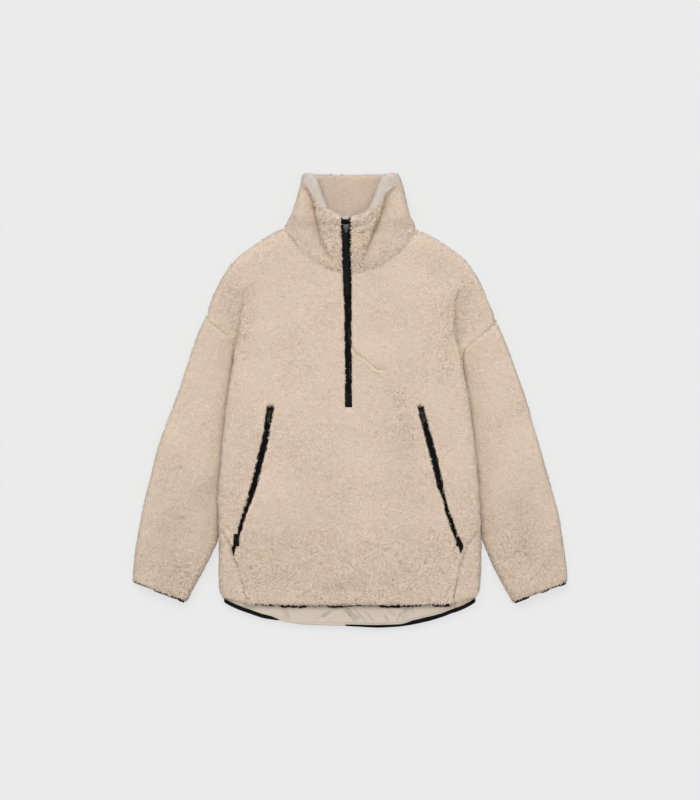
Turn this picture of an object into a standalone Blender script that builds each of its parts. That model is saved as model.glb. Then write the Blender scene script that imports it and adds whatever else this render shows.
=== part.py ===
"""Sherpa fleece pullover laid flat on its back, front up, collar towards +Y.

The pullover is a body of a front and a back panel with dropped shoulders, two small side
panels low at the hem, two sleeves, and a stand collar of two layers round a half zip. Black
tape binds the hems and cuffs, and two slanted zip pockets are let into the front. Each cloth
solid reaches from its backing to the tips of its pile. Lengths below are in millimetres.
"""

import math

import bmesh
import bpy
from mathutils import Vector

MM = 0.001

# Cloth: heights are above the surface that the pullover lies on.
SHERPA_WALL = 10.5        # one layer of fleece, backing and pile
BODY_TOP = 23.5           # pile tips of the front, lying on the back
FRONT_BACKING = 12.8      # underside of the front panel
SEAM_LEVEL = 11.5         # where the front meets the back round a folded edge
SEAM_GAP = 0.3
FOLD_SHIFT = 0.8          # share of a fold's width that its wall takes
SIDE_FOLD_SHIFT = 0.72    # the same for the side panels, clear of the seams beside them
NECK_POWER = 2.15         # roundness of the neckline
SLEEVE_TOP = 22.5
SLEEVE_EDGE = 13.0        # width of a sleeve's rounded edge
PILE_ROUND = 8.0          # how far back a cut pile edge is rounded
PILE_DROP = 5.0
SIDE_SWELL = 2.5          # the body stands higher beside its folded sides
SIDE_SWELL_IN = 30.0      # how far in from the fold the swell is highest
SIDE_SWELL_WIDTH = 26.0

# Collar
COLLAR_WALL = 17.0        # two layers of fleece
COLLAR_SEAM_WALL = 12.5
COLLAR_MOUTH = 5.0        # how far the front of the collar stands off its back
COLLAR_EDGE = ((0.0, 30.0), (0.3, 18.0), (1.0, 16.0))   # rounded side's width, by height
COLLAR_RIM = 8.5          # how far back the collar's top edge is rounded
RIM_TURN = 0.8            # share of that which each face turns down by
COLLAR_ROLL = (9.0, 7.0, 1.5)      # soft roll below the rim: distance, width, height
COLLAR_HOLLOW = (23.0, 4.0, 2.2)   # crease below the roll, beside the zip
NECK_FLAT = 326.0         # y of the back neck seam at the shoulders
LYING_GAP = 2.0           # between the back of the neck and the front of the collar on it
COLLAR_FOLD_SHIFT = 0.84  # keeps the collar's backing clear of the panels' at the shoulders
NECK_GAP = 1.0            # at the neck seam, whose ends turn round the shoulders
OUTER_SHARE = 0.46        # share of the wall that is the outer layer

# Zips and bindings
POCKET_HALF = 5.0
TAPE_THICK = 1.2
COIL_HALF = 2.1
COIL_THICK = 1.6
STRAP_WIDTH = 12.0
STRAP_THICK = 2.2
BINDING_THICK = 2.0
BINDING_FOOT = 3.5        # lowest edge of the back hem's binding
FRONT_BINDING_TOP = 17.0
LINING_TOP = -368.0       # upper edge of the lining's strip, under the front
LINING_BARE = -392.0      # below this the lining is not pressed by the front hem
LINING_THICK = 0.9
LINING_WRINKLE = 1.2

# Colours, linear RGB
FLEECE = (0.66, 0.53, 0.41)
FLEECE_INSIDE = (0.60, 0.46, 0.35)
LINING = (0.61, 0.52, 0.41)
BLACK_TAPE = (0.012, 0.012, 0.012)
BLACK_METAL = (0.03, 0.03, 0.032)
PALE_TAB = (0.55, 0.54, 0.52)

# Sections of the front from the neck seam to the hem. left and right are the panel's own
# edges, fold_left and fold_right the outer edges of the garment beside them, middle the y at
# the centre, round the width of the rounded edge, pocket_left and pocket_right the pocket line.
FRONT_COLUMNS = ("left", "left_y", "fold_left", "right", "right_y", "fold_right",
                 "middle", "round", "pocket_left", "pocket_right")
FRONT_ROWS = (
    (-127, 328, -127, 129, 324, 129, 244, 30, -62, 60),
    (-157, 313, -157, 156, 313, 156, 236, 28, -75, 73),
    (-190.5, 290, -190.5, 190.5, 290, 190.5, 226, 22, -88, 86),
    (-220.5, 267, -220.5, 221.5, 267, 221.5, 214, 18, -99, 96),
    (-237, 244, -237, 237, 244, 237, 200, 15, -107, 103),
    (-251, 221, -251, 250, 221, 250, 184, 14, -113, 108),
    (-266, 187, -266, 264, 187, 264, 162, 13, -119, 113),
    (-274, 160, -274, 279, 151, 279, 140, 13, -123, 116),
    (-260, 147.2, -280, 262, 136.3, 286, 128, 13, -126, 118),
    (-243, 131.7, -287, 241, 118.2, 293, 116, 13, -129, 120),
    (-228, 118, -293, 223, 102.6, 300, 104, 13, -132, 121),
    (-217, 108, -297, 213, 94, 303, 94, 13, -134, 122),
    (-221, 86, -221, 213.5, 72, 213.5, 74, 13, -138, 124),
    (-226, 55, -226, 217, 49, 217, 50, 13, -142, 126.5),
    (-231, 20, -231, 224, 16, 224, 18, 13, -147, 130),
    (-235, -12, -235, 228, -12, 228, -12, 13, -151, 133),
    (-239, -45, -239, 232, -45, 232, -45, 13, -156, 142.5),
    (-243, -82, -243, 237, -82, 237, -82, 13, -163, 152.5),
    (-246, -118, -246, 241, -118, 241, -118, 13, -172, 161.5),
    (-249, -154, -249, 244.5, -154, 244.5, -154, 13, -180.5, 169),
    (-251, -190, -251, 247, -190, 247, -190, 13, -191.5, 180),
    (-249.5, -216, -249.5, 248.2, -216, 248.2, -216, 13, -201, 187),
    (-248, -238, -248, 249, -238, 249, -238, 13, -208, 194.5),
    (-244.5, -243.5, -248.4, 244.4, -243.5, 249.5, -243.5, 13, -209, 196.5),
    (-240.4, -250, -249, 238.9, -250, 250.2, -250, 13, -210.5, 198.5),
    (-236, -257, -249.5, 233, -257, 250, -257, 13, -212, 201),
    (-225, -274, -249.8, 219.5, -274, 250.4, -275, 13, -214.5, 208.5),
    (-213, -314, -250, 208, -314, 249.6, -313, 13, -190, 187),
    (-203, -348, -250, 201, -348, 248.8, -349, 13, -178, 178),
    (-197, -370, -249.6, 196, -370, 248, -372, 13, -172, 172),
    (-195, -379, -249.6, 195, -379, 248, -382, 13, -170, 170),
    (-194, -386, -249.6, 194, -386, 248, -389, 13, -169, 169),
)
ZIP_END_ROW = 15
POCKET_ROWS = (15, 26)

# The back shares the front's edges down to the side panels. Its own middle line is longer.
BACK_MIDDLE = (311, 296, 276, 256, 236, 214, 182, 150, 136, 122, 108, 97, 74, 50, 18, -12,
               -45, -82, -118, -154, -190, -216, -239, -245, -252, -262, -284, -330, -370)
BACK_TAIL = (
    (-199, -375, -249.6, 198, -375, 248, -400, 13, 0, 0),
    (-194, -398.4, -249.6, 194, -400.3, 248, -426, 13, 0, 0),
)
BACK_HEM_DROP = ((-194, 0.0), (-140, 2.7), (-96, 3.9), (-50, 1.4), (-10, 0.8), (20, 2.4),
                 (53, 5.4), (97, 7.1), (125, 6.7), (152, 5.7), (175, 3.5), (194, 0.0))

# Side panels from their point to the hem: fold is the outer edge, seam the front's edge.
SIDE_COLUMNS = ("fold", "fold_y", "seam", "seam_y", "back_seam_y")
SIDE_ROWS = {
    "left": ((-248.4, -243.5, -245, -243.5, -243.5), (-249, -250, -240.8, -250, -250),
             (-249.5, -257, -236.4, -257, -257), (-249.8, -274, -225.4, -274, -274),
             (-250, -312, -213.4, -314, -314),
             (-250, -340, -203.4, -348, -348), (-249.6, -352, -200.2, -361, -370),
             (-246.8, -367, -194.5, -386, -398.4)),
    "right": ((249.5, -243.5, 245, -243.5, -243.5), (250.2, -250, 239.3, -250, -250),
              (250, -257, 233.4, -257, -257), (250.4, -274, 219.9, -274, -274),
              (249.6, -312, 208.4, -314, -314),
              (248.8, -340, 201.4, -348, -348), (248.3, -350, 198.8, -361, -370),
              (245.5, -364, 194.5, -386, -400.3)),
}

# Sleeves from the armhole seam to the cuff.
SLEEVE_COLUMNS = ("outer", "outer_y", "inner", "inner_y")
SLEEVE_ROWS = {
    "left": ((-274.3, 159.6, -217.6, 107.4), (-287, 134, -224, 86), (-300, 101.5, -228, 62),
             (-315.5, 50, -233.5, 18), (-330.5, 5, -239, -24), (-349.5, -41, -243.5, -67),
             (-365, -86.5, -248, -113), (-376, -132, -251.5, -160), (-387.5, -174, -253.5, -204),
             (-398, -223, -254, -252), (-405.5, -265, -259, -283), (-410.5, -295, -273.5, -314),
             (-412.5, -317, -293, -349), (-413.4, -332, -303, -368), (-413.6, -341, -310.5, -381)),
    "right": ((279.3, 150.6, 213.6, 93.4), (290.5, 126, 217.5, 67), (303, 96, 222, 43),
              (317, 54, 227, 12), (332.5, 10.5, 232.3, -22), (348, -41, 238, -67),
              (361, -86.5, 243.3, -113), (374, -132, 247.5, -160), (386.5, -174, 250.3, -202),
              (399, -223, 254, -252), (405, -269, 260, -290), (409.5, -296, 273.5, -318),
              (412, -319, 292.5, -355), (412.8, -332, 302, -371), (413, -341, 309.5, -382)),
}

# Soft folds: a trough has a negative height. Each runs from start to end and fades in width.
FOLD_COLUMNS = ("start_x", "start_y", "end_x", "end_y", "width", "height")
FRONT_FOLDS = (
    (-140, -343, -93, -322, 13, -4.5), (-47, -366, 19, -360, 12, -4.0),
    (74, -352, 105, -333, 14, -3.6), (-152, -290, -120, -284, 22, -2.0),
    (88, -105, 96, -75, 28, -1.8), (150, -300, 160, -345, 16, -2.0),
    (-30, -338, 10, -328, 16, 1.6), (40, -372, 58, -318, 14, 1.8),
    (-142, -180, -128, -140, 26, 1.6), (-70, 60, -60, -60, 40, -1.2),
    (30, 120, 60, 84, 26, 1.4), (-205, 216, -217, 100, 9, -6.0),
    (210, 216, 204, 90, 9, -6.0), (-232, 168, -228, 130, 22, -2.0),
    (236, 162, 228, 118, 22, -2.0), (0, -200, 36, -260, 30, 1.4),
)
SLEEVE_FOLDS = {
    "left": ((-352, -246, -296, -208, 15, -4.0), (-376, -322, -352, -330, 13, -3.2),
             (-330, -318, -322, -340, 12, -2.6), (-262, 60, -272, -40, 20, -2.2),
             (-330, -120, -300, -150, 26, 1.6), (-380, -262, -330, -276, 16, 1.6)),
    "right": ((314, -214, 333, -306, 14, -3.6), (372, -320, 392, -300, 14, -2.4),
              (262, 50, 272, -50, 20, -2.2), (346, -130, 322, -170, 26, 1.6),
              (352, -250, 366, -310, 16, 1.4), (288, -250, 298, -300, 14, -2.0)),
}

# Collar: its folded sides, by share of its height, and its top edge across the front.
COLLAR_SIDES = ((0.0, -125.4, 127.4), (0.25, -112.5, 114.5), (0.5, -104, 109),
                (0.75, -97, 103), (1.0, -91, 93.5))
COLLAR_TOP = ((0.0, 349), (0.14, 351), (0.30, 356), (0.38, 361), (0.46, 372), (0.54, 391),
              (0.62, 413), (0.70, 424), (0.80, 430), (0.90, 431), (1.0, 428.5))
RIM_OFFSET = 0.055        # how far left of the middle the front rim is lowest, as a share
COLLAR_HEIGHTS = (0.0, 0.12, 0.3, 0.5, 0.7, 0.85, 0.94, 1.0)
BACK_COLLAR_TOP = ((0.0, 427), (0.5, 428), (0.8, 430), (0.9, 431), (1.0, 428.5))
BACK_NECK_MIDDLE = 311
COLLAR_CREASE = {
    "left": ((270, -38.5, 2.0), (298, -54, 5.0), (331, -61, 7.5), (358, -67, 7.5),
             (379, -72, 6.0), (398, -81, 4.0), (415, -90, 0.0)),
    "right": ((271, 26.5, 2.0), (294, 35.5, 5.0), (317, 44, 7.5), (342, 55, 8.5),
              (366, 63.5, 8.0), (389, 69, 5.0), (402, 81, 2.0), (415, 92, 0.0)),
}

# Front zip: its line, half the slot's width and the height of its tape.
ZIP_END = -12.0
ZIP_LINE = ((-14, -2.8, 6.8, 16.0), (100, -3.3, 7.0, 16.0), (190, -4.0, 7.5, 16.0),
            (225, -4.8, 8.3, 16.3), (244, -5.5, 9.0, 17.2), (270, -6.2, 9.3, 20.6),
            (300, -7.0, 9.6, 25.0), (347, -8.0, 10.0, 30.4))
ZIP_TILT = math.atan2(30.4 - 25.0, 347.0 - 300.0)
STRAP_LINE = ((318, -8.4, 36.2), (312, -8.3, 35.4), (304, -8.2, 33.2), (296, -8.0, 30.8),
              (270, -7.2, 26.4), (244, -6.4, 22.8), (222, -5.8, 21.6), (197, -5.2, 21.2))

# Sliders: width, length and thickness of the body, then the pull tab's width and length.
FRONT_SLIDER_Y = 325.0
FRONT_SLIDER = (11.0, 17.0, 4.5)
FRONT_PULL = (9.0, 12.0)
POCKET_SLIDER_Y = -24.0
POCKET_SLIDER = (8.4, 14.0, 3.4)
POCKET_PULL = (6.4, 19.0)
POCKET_TAPE_Z = 15.4
BRIDGE_WIDTH = 2.6
BRIDGE_CLEAR = 3.2        # room under a slider's bridge
BRIDGE_THICK = 1.2
POST_LENGTH = 2.0
POST_REACH = 0.22         # from the middle to a post, as a share of the slider's length
SLIDER_TAPER = 0.74
METAL_ROUGHNESS = 0.35
PULL_THICK = 1.4
PULL_END = 1.2            # from the hinge to the pull tab's end under the bridge
PULL_HOLE = (4.2, 6.6)
POCKET_END_TABS = {"left": ((-265, -213.6), (-276, -216), (-284, -218.6), (-291, -221)),
                   "right": ((-265, 205), (-274, 208), (-282, 209.6), (-289, 210.4))}
POCKET_TAB_HALF = 3.6

# Back hem: how much of its binding shows, by x, before it rolls under.
BINDING_SHOW = ((-232, 7.0), (-146, 8.0), (-128, 1.6), (-12, 1.6), (4, 3.0), (96, 4.0),
                (118, 8.0), (232, 7.0))


def named(columns, row):
    """A table's row as a dictionary, so that its values are read by name."""
    return dict(zip(columns, row))


def read(table, key, column):
    """Straight-line reading of one column of a table whose first column rises or falls."""
    rows = sorted(table)
    if key <= rows[0][0]:
        return rows[0][column]
    for low, high in zip(rows, rows[1:]):
        if key <= high[0]:
            share = (key - low[0]) / (high[0] - low[0])
            return low[column] + share * (high[column] - low[column])
    return rows[-1][column]


def ease(value):
    """0 to 1 with soft ends."""
    value = min(max(value, 0.0), 1.0)
    return value * value * (3.0 - 2.0 * value)


def rise(distance, width):
    """Quarter ellipse: how far a rounded edge has risen, 0 to 1, at a distance from it."""
    left = 1.0 - min(max(distance / width, 0.0), 1.0)
    return math.sqrt(1.0 - left * left)


def to_segment(x, y, start, end):
    """Distance in plan from a point to a straight piece."""
    along_x, along_y = end[0] - start[0], end[1] - start[1]
    share = ((x - start[0]) * along_x + (y - start[1]) * along_y) / (along_x ** 2 + along_y ** 2)
    share = min(max(share, 0.0), 1.0)
    return math.hypot(x - start[0] - share * along_x, y - start[1] - share * along_y)


def folds_at(x, y, folds):
    """Sum of the soft folds of a table at one place, each a rounded ridge or trough."""
    total = 0.0
    for row in folds:
        fold = named(FOLD_COLUMNS, row)
        away = to_segment(x, y, (fold["start_x"], fold["start_y"]), (fold["end_x"], fold["end_y"]))
        total += fold["height"] * math.exp(-(away / fold["width"]) ** 2)
    return total


pullover = bpy.data.collections.new("sherpa_fleece_pullover")
cutters = bpy.data.collections.new("cutters")


def start_scene():
    for item in list(bpy.data.objects):
        bpy.data.objects.remove(item)
    bpy.context.scene.collection.children.link(pullover)
    bpy.context.scene.collection.children.link(cutters)


def finish_of(name, colour, roughness, metallic=0.0):
    material = bpy.data.materials.new(name)
    material.use_nodes = True
    shader = material.node_tree.nodes["Principled BSDF"]
    shader.inputs["Base Color"].default_value = (*colour, 1.0)
    shader.inputs["Roughness"].default_value = roughness
    shader.inputs["Metallic"].default_value = metallic
    return material


def place(name, mesh_data, colour, roughness=0.9, metallic=0.0, home=pullover):
    item = bpy.data.objects.new(name, mesh_data)
    item.data.materials.append(finish_of(name, colour, roughness, metallic))
    home.objects.link(item)
    return item


def sheet_solid(name, top, under, colour, roughness=0.9, cut=(), closed=False, pivot=(0, 0, 0)):
    """Solid between two grids of points, top[row][column] and under[row][column].

    cut holds (row, column) cells that are left out, as a slot in the cloth. closed joins the
    last column to the first, as round a sleeve. The rims are closed with walls.
    """
    shape = bmesh.new()
    origin = Vector(pivot)
    rows = len(top)
    columns = len(top[0])
    grids = [[[shape.verts.new((Vector(point) - origin) * MM) for point in row] for row in grid]
             for grid in (top, under)]
    spans = columns if closed else columns - 1
    kept = {(r, c) for r in range(rows - 1) for c in range(spans)} - set(cut)
    for r, c in sorted(kept):
        corners = ((r, c), (r, (c + 1) % columns), (r + 1, (c + 1) % columns), (r + 1, c))
        for grid in grids:
            shape.faces.new([grid[i][j] for i, j in corners])
        beside = ((r - 1, c), (r, (c + 1) % spans if closed else c + 1),
                  (r + 1, c), (r, (c - 1) % spans if closed else c - 1))
        for side, neighbour in enumerate(beside):
            if neighbour in kept:
                continue
            (i, j), (k, m) = corners[side], corners[(side + 1) % 4]
            shape.faces.new((grids[0][i][j], grids[0][k][m], grids[1][k][m], grids[1][i][j]))
    loose = [vertex for vertex in shape.verts if not vertex.link_faces]
    bmesh.ops.delete(shape, geom=loose, context="VERTS")
    bmesh.ops.triangulate(shape, faces=shape.faces)
    bmesh.ops.recalc_face_normals(shape, faces=shape.faces)
    mesh_data = bpy.data.meshes.new(name)
    shape.to_mesh(mesh_data)
    shape.free()
    item = place(name, mesh_data, colour, roughness)
    item.location = origin * MM
    return item


def fold_steps(width):
    """Places across a rounded edge, close together where it turns fastest."""
    return [width * (1.0 - math.cos(math.radians(angle))) for angle in (0, 22.5, 45, 67.5, 90)]


def spread(start, end, count):
    """count places between start and end, without either."""
    return [start + (end - start) * (i + 1) / (count + 1) for i in range(count)]


def zip_edges(y):
    """x of the left and right edge of the front zip's slot."""
    centre, half = read(ZIP_LINE, y, 1), read(ZIP_LINE, y, 2)
    return centre - half, centre + half


def row_y(row, x):
    """y of a panel's section at x: straight between its edges, rounded to its middle."""
    share = (x - row["left"]) / (row["right"] - row["left"])
    straight = row["left_y"] + share * (row["right_y"] - row["left_y"])
    level = (row["left_y"] + row["right_y"]) / 2.0
    return straight + (row["middle"] - level) * (1.0 - abs(2.0 * share - 1.0) ** NECK_POWER)


def front_height(x, y, row, hem_distance):
    """Pile height of the front: swollen at its folded sides, with folds, dipped at its hem."""
    inside = min(x - row["fold_left"], row["fold_right"] - x)
    swell = SIDE_SWELL * math.exp(-((inside - SIDE_SWELL_IN) / SIDE_SWELL_WIDTH) ** 2)
    swell *= ease((90.0 - y) / 60.0)
    top = BODY_TOP + swell + folds_at(x, y, FRONT_FOLDS)
    return top - PILE_DROP * (1.0 - rise(hem_distance, PILE_ROUND))


def front_columns(row, y):
    """x of the front's columns: edges, pocket slits and zip slot, with places between."""
    zip_left, zip_right = zip_edges(y)
    slit_left = row["pocket_left"] - POCKET_HALF
    slit_right = row["pocket_right"] + POCKET_HALF
    left_edge = min(row["round"], 0.55 * (slit_left - row["left"]))
    right_edge = min(row["round"], 0.55 * (row["right"] - slit_right))
    places = [row["left"] + step for step in fold_steps(left_edge)]
    places += spread(places[-1], slit_left, 2)
    places += [slit_left, row["pocket_left"] + POCKET_HALF]
    places += spread(places[-1], zip_left, 7)
    places += [zip_left, zip_right]
    places += spread(zip_right, row["pocket_right"] - POCKET_HALF, 7)
    places += [row["pocket_right"] - POCKET_HALF, slit_right]
    places += spread(slit_right, row["right"] - right_edge, 2)
    places += [row["right"] - step for step in reversed(fold_steps(right_edge))]
    return places


POCKET_LEFT_CELL = 7
ZIP_CELL = 16
POCKET_RIGHT_CELL = 25


def edge_points(x, y, row, top):
    """Outer and inner point of the upper wall at x, turned round the nearer folded edge."""
    if x - row["fold_left"] < row["fold_right"] - x:
        away, inward = x - row["fold_left"], 1.0
    else:
        away, inward = row["fold_right"] - x, -1.0
    up = rise(away, row["round"])
    shift = inward * FOLD_SHIFT * row["round"] * (1.0 - min(away / row["round"], 1.0))
    foot = SEAM_LEVEL + SEAM_GAP / 2.0
    return (x, y, foot + (top - foot) * up), (x + shift, y, foot + (FRONT_BACKING - foot) * up)


def build_front():
    """Front panel with dropped shoulders, a zip slot down from the neck and two pocket slits."""
    top, under = [], []
    last = named(FRONT_COLUMNS, FRONT_ROWS[-1])
    for values in FRONT_ROWS:
        row = named(FRONT_COLUMNS, values)
        outer, inner = [], []
        for x in front_columns(row, row["middle"]):
            y = row_y(row, x)
            height = front_height(x, y, row, y - last["middle"])
            points = edge_points(x, y, row, height)
            outer.append(points[0])
            inner.append(points[1])
        top.append(outer)
        under.append(inner)
    cut = [(r, ZIP_CELL) for r in range(ZIP_END_ROW)]
    cut += [(r, c) for r in range(*POCKET_ROWS) for c in (POCKET_LEFT_CELL, POCKET_RIGHT_CELL)]
    return sheet_solid("front_panel", top, under, FLEECE, cut=cut)


def back_points(x, y, row):
    """Outer and inner point of the lower wall at x: flat below, turned up at the edges."""
    if x - row["fold_left"] < row["fold_right"] - x:
        away, inward = x - row["fold_left"], 1.0
    else:
        away, inward = row["fold_right"] - x, -1.0
    up = rise(away, row["round"])
    shift = inward * FOLD_SHIFT * row["round"] * (1.0 - min(away / row["round"], 1.0))
    brow = SEAM_LEVEL - SEAM_GAP / 2.0
    return (x, y, brow * (1.0 - up)), (x + shift, y, brow + (SHERPA_WALL - brow) * up)


def back_rows():
    """The back's sections: the front's edges with its own middle, then its longer tail."""
    rows = []
    for values, middle in zip(FRONT_ROWS, BACK_MIDDLE):
        row = named(FRONT_COLUMNS, values)
        row["middle"] = middle
        rows.append(row)
    return rows + [named(FRONT_COLUMNS, values) for values in BACK_TAIL]


def back_y(x, row):
    """y of a section of the back at x; the last one hangs lower by the hem's own curve."""
    last = row["left_y"] == BACK_TAIL[-1][1]
    return row_y(row, x) - (read(BACK_HEM_DROP, x, 1) if last else 0.0)


def back_columns(row):
    """x of the back's columns: close together at its rounded edges."""
    places = [row["left"] + step for step in fold_steps(row["round"])]
    places += spread(places[-1], row["right"] - row["round"], 9)
    return places + [row["right"] - step for step in reversed(fold_steps(row["round"]))]


def build_back():
    """Back panel, flat on its pile, longer than the front at the hem."""
    top, under = [], []
    for row in back_rows():
        pairs = [back_points(x, back_y(x, row), row) for x in back_columns(row)]
        under.append([pair[0] for pair in pairs])
        top.append([pair[1] for pair in pairs])
    return sheet_solid("back_panel", top, under, FLEECE)


def build_side(side):
    """Side panel low at the hem: a narrow point above, wrapping the fold from front to back."""
    inward = 1.0 if side == "left" else -1.0
    round_width = FRONT_ROWS[-1][FRONT_COLUMNS.index("round")]
    outer, inner = [], []
    for values in SIDE_ROWS[side]:
        row = named(SIDE_COLUMNS, values)
        width = abs(row["seam"] - row["fold"]) - 2 * SEAM_GAP
        edge = min(round_width, 0.6 * width)
        steps = [*fold_steps(edge), *spread(edge, width, 1), width]
        ring = [(step, 1.0) for step in reversed(steps)] + [(step, -1.0) for step in steps[1:]]
        outside, inside = [], []
        for step, face in ring:
            up = rise(step, round_width)
            goal = row["seam_y"] if face > 0 else row["back_seam_y"]
            y = row["fold_y"] + (goal - row["fold_y"]) * math.sqrt(step / width)
            x = row["fold"] + inward * step
            shift = inward * SIDE_FOLD_SHIFT * round_width * (1.0 - min(step / round_width, 1.0))
            near_hem = row["seam_y"] - SIDE_ROWS[side][-1][3]
            drop = PILE_DROP * (1.0 - rise(near_hem, PILE_ROUND))
            crown = BODY_TOP - drop if face > 0 else 0.0
            wall = FRONT_BACKING if face > 0 else SHERPA_WALL
            outside.append((x, y, SEAM_LEVEL + (crown - SEAM_LEVEL) * up))
            inside.append((x + shift, y, SEAM_LEVEL + (wall - SEAM_LEVEL) * up))
        outer.append(outside)
        inner.append(inside)
    return sheet_solid(f"side_panel_{side}", outer, inner, FLEECE)


def sleeve_ring(row, folds, depth=0.0):
    """One section round a flattened sleeve, at a depth in its wall from 0 outside to 1 inside."""
    span_x, span_y = row["inner"] - row["outer"], row["inner_y"] - row["outer_y"]
    width = math.hypot(span_x, span_y)
    places = [*fold_steps(SLEEVE_EDGE), *spread(SLEEVE_EDGE, width - SLEEVE_EDGE, 3)]
    places += [width - step for step in reversed(fold_steps(SLEEVE_EDGE))]
    ring = []
    for face, steps in ((1.0, places), (-1.0, places[-2:0:-1])):
        for step in steps:
            away = min(step, width - step)
            turn = 1.0 if step < width / 2.0 else -1.0
            up = rise(away, SLEEVE_EDGE)
            shift = FOLD_SHIFT * SLEEVE_EDGE * (1.0 - min(away / SLEEVE_EDGE, 1.0)) * turn * depth
            share = (step + shift) / width
            x = row["outer"] + share * span_x
            y = row["outer_y"] + share * span_y
            if face > 0:
                crown = SLEEVE_TOP + folds_at(x, y, folds)
                level = crown + (FRONT_BACKING - crown) * depth
            else:
                level = SHERPA_WALL * depth
            ring.append((x, y, SEAM_LEVEL + (level - SEAM_LEVEL) * up))
    return ring


def build_sleeve(side):
    """Sleeve: a tube folded flat, its cut edge under the cuff's binding."""
    rows = [named(SLEEVE_COLUMNS, values) for values in SLEEVE_ROWS[side]]
    outer = [sleeve_ring(row, SLEEVE_FOLDS[side]) for row in rows]
    inner = [sleeve_ring(row, SLEEVE_FOLDS[side], depth=1.0) for row in rows]
    return sheet_solid(f"sleeve_{side}", outer, inner, FLEECE, closed=True)


def build_cuff_binding(side):
    """Binding round the cuff: a band on the cut edge of the sleeve, on its backing side."""
    end = named(SLEEVE_COLUMNS, SLEEVE_ROWS[side][-1])
    span = Vector((end["inner"] - end["outer"], end["inner_y"] - end["outer_y"]))
    onward = Vector((span.y, -span.x)).normalized()
    if onward.y > 0:
        onward = -onward
    outer, inner = [], []
    for reach in (SEAM_GAP, SEAM_GAP + BINDING_THICK):
        row = dict(end)
        row["outer"] += onward.x * reach
        row["inner"] += onward.x * reach
        row["outer_y"] += onward.y * reach
        row["inner_y"] += onward.y * reach
        outer.append(sleeve_ring(row, (), depth=0.45))
        inner.append(sleeve_ring(row, (), depth=1.0))
    return sheet_solid(f"cuff_binding_{side}", outer, inner, BLACK_TAPE, 0.7, closed=True)


def back_hem_y(x):
    """y of the cut edge of the back at x, over the back panel and the side panels."""
    row = named(FRONT_COLUMNS, BACK_TAIL[-1])
    if row["left"] <= x <= row["right"]:
        return back_y(x, row)
    side = named(SIDE_COLUMNS, SIDE_ROWS["left" if x < 0 else "right"][-1])
    share = (x - side["fold"]) / (side["seam"] - side["fold"])
    return side["fold_y"] + (side["back_seam_y"] - side["fold_y"]) * math.sqrt(max(share, 0.0))


def build_back_binding():
    """Binding of the back hem: a band over the cut edge with a flap turned onto the lining."""
    places = spread(-233, 233, 39)
    top_of_flap = FRONT_BACKING - 2 * SEAM_GAP
    outer, inner = [], []
    for x in places:
        edge = back_hem_y(x) - SEAM_GAP
        show = read(BINDING_SHOW, x, 1)
        outer.append([(x, edge - BINDING_THICK, BINDING_FOOT),
                      (x, edge - BINDING_THICK, top_of_flap), (x, edge + show, top_of_flap)])
        inner.append([(x, edge, BINDING_FOOT), (x, edge, SHERPA_WALL + SEAM_GAP),
                      (x, edge + show, SHERPA_WALL + SEAM_GAP)])
    return sheet_solid("hem_binding_back", outer, inner, BLACK_TAPE, 0.7)


def build_front_binding():
    """Binding of the front hem, on the cut edge under the overhanging pile."""
    row = named(FRONT_COLUMNS, FRONT_ROWS[-1])
    outer, inner = [], []
    for x in [row["left"] + 1.0, *spread(row["left"], row["right"], 20), row["right"] - 1.0]:
        edge = row_y(row, x) - SEAM_GAP
        outer.append([(x, edge - BINDING_THICK, z) for z in (FRONT_BACKING, FRONT_BINDING_TOP)])
        inner.append([(x, edge, z) for z in (FRONT_BACKING, FRONT_BINDING_TOP)])
    return sheet_solid("hem_binding_front", outer, inner, BLACK_TAPE, 0.7)


def build_lining():
    """Woven lining of the back, where it shows below the front hem."""
    floor_level = SHERPA_WALL + SEAM_GAP
    top, under = [], []
    for x in spread(-197, 197, 25):
        low = back_hem_y(x) + read(BINDING_SHOW, x, 1) + 3 * SEAM_GAP
        outer, inner = [], []
        for share in (0.0, 0.12, 0.3, 0.5, 1.0):
            y = low + share * (LINING_TOP - low)
            bare = ease((LINING_BARE - y) / 10.0) * ease((y - low) / 4.0)
            wrinkle = LINING_WRINKLE * (1.0 + math.sin(0.16 * x + 0.11 * y))
            outer.append((x, y, floor_level + LINING_THICK + bare * wrinkle))
            inner.append((x, y, floor_level))
        top.append(outer)
        under.append(inner)
    return sheet_solid("lining_back_hem", top, under, LINING, 0.7)


def collar_back_top(x_share, y):
    """Height of the lying back of the neck at a place: the back panel, then the collar."""
    seam = NECK_FLAT + (BACK_NECK_MIDDLE - NECK_FLAT) * (1.0 - x_share * x_share)
    return SHERPA_WALL + (COLLAR_WALL - SHERPA_WALL) * ease((y - seam) / 30.0)


def neck_y(share):
    """y of the front neck seam at a share across, -1 left to 1 right."""
    row = named(FRONT_COLUMNS, FRONT_ROWS[0])
    return row_y(row, row["left"] + (share + 1.0) / 2.0 * (row["right"] - row["left"]))


def collar_place(share, height, face):
    """x and y of the collar at a share across and a share of its height."""
    left, right = read(COLLAR_SIDES, height, 1), read(COLLAR_SIDES, height, 2)
    x = (left + right) / 2.0 + share * (right - left) / 2.0
    if face > 0:
        along = abs(share + RIM_OFFSET * (1.0 - share * share))
        low, high = neck_y(share) + NECK_GAP, read(COLLAR_TOP, along, 1)
    else:
        dip = (BACK_NECK_MIDDLE - NECK_FLAT) * (1.0 - abs(share) ** NECK_POWER)
        low = NECK_FLAT - 2.0 * share + dip + NECK_GAP
        high = read(BACK_COLLAR_TOP, abs(share), 1)
    return x, low + height * (high - low)


def rim_distance(x, y, face):
    """Distance from a place to the collar's top edge, front or back."""
    shares = [i / 16.0 for i in range(-16, 17)]
    edge = [collar_place(share, 1.0, face) for share in shares]
    return min(to_segment(x, y, start, end) for start, end in zip(edge, edge[1:]))


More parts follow.
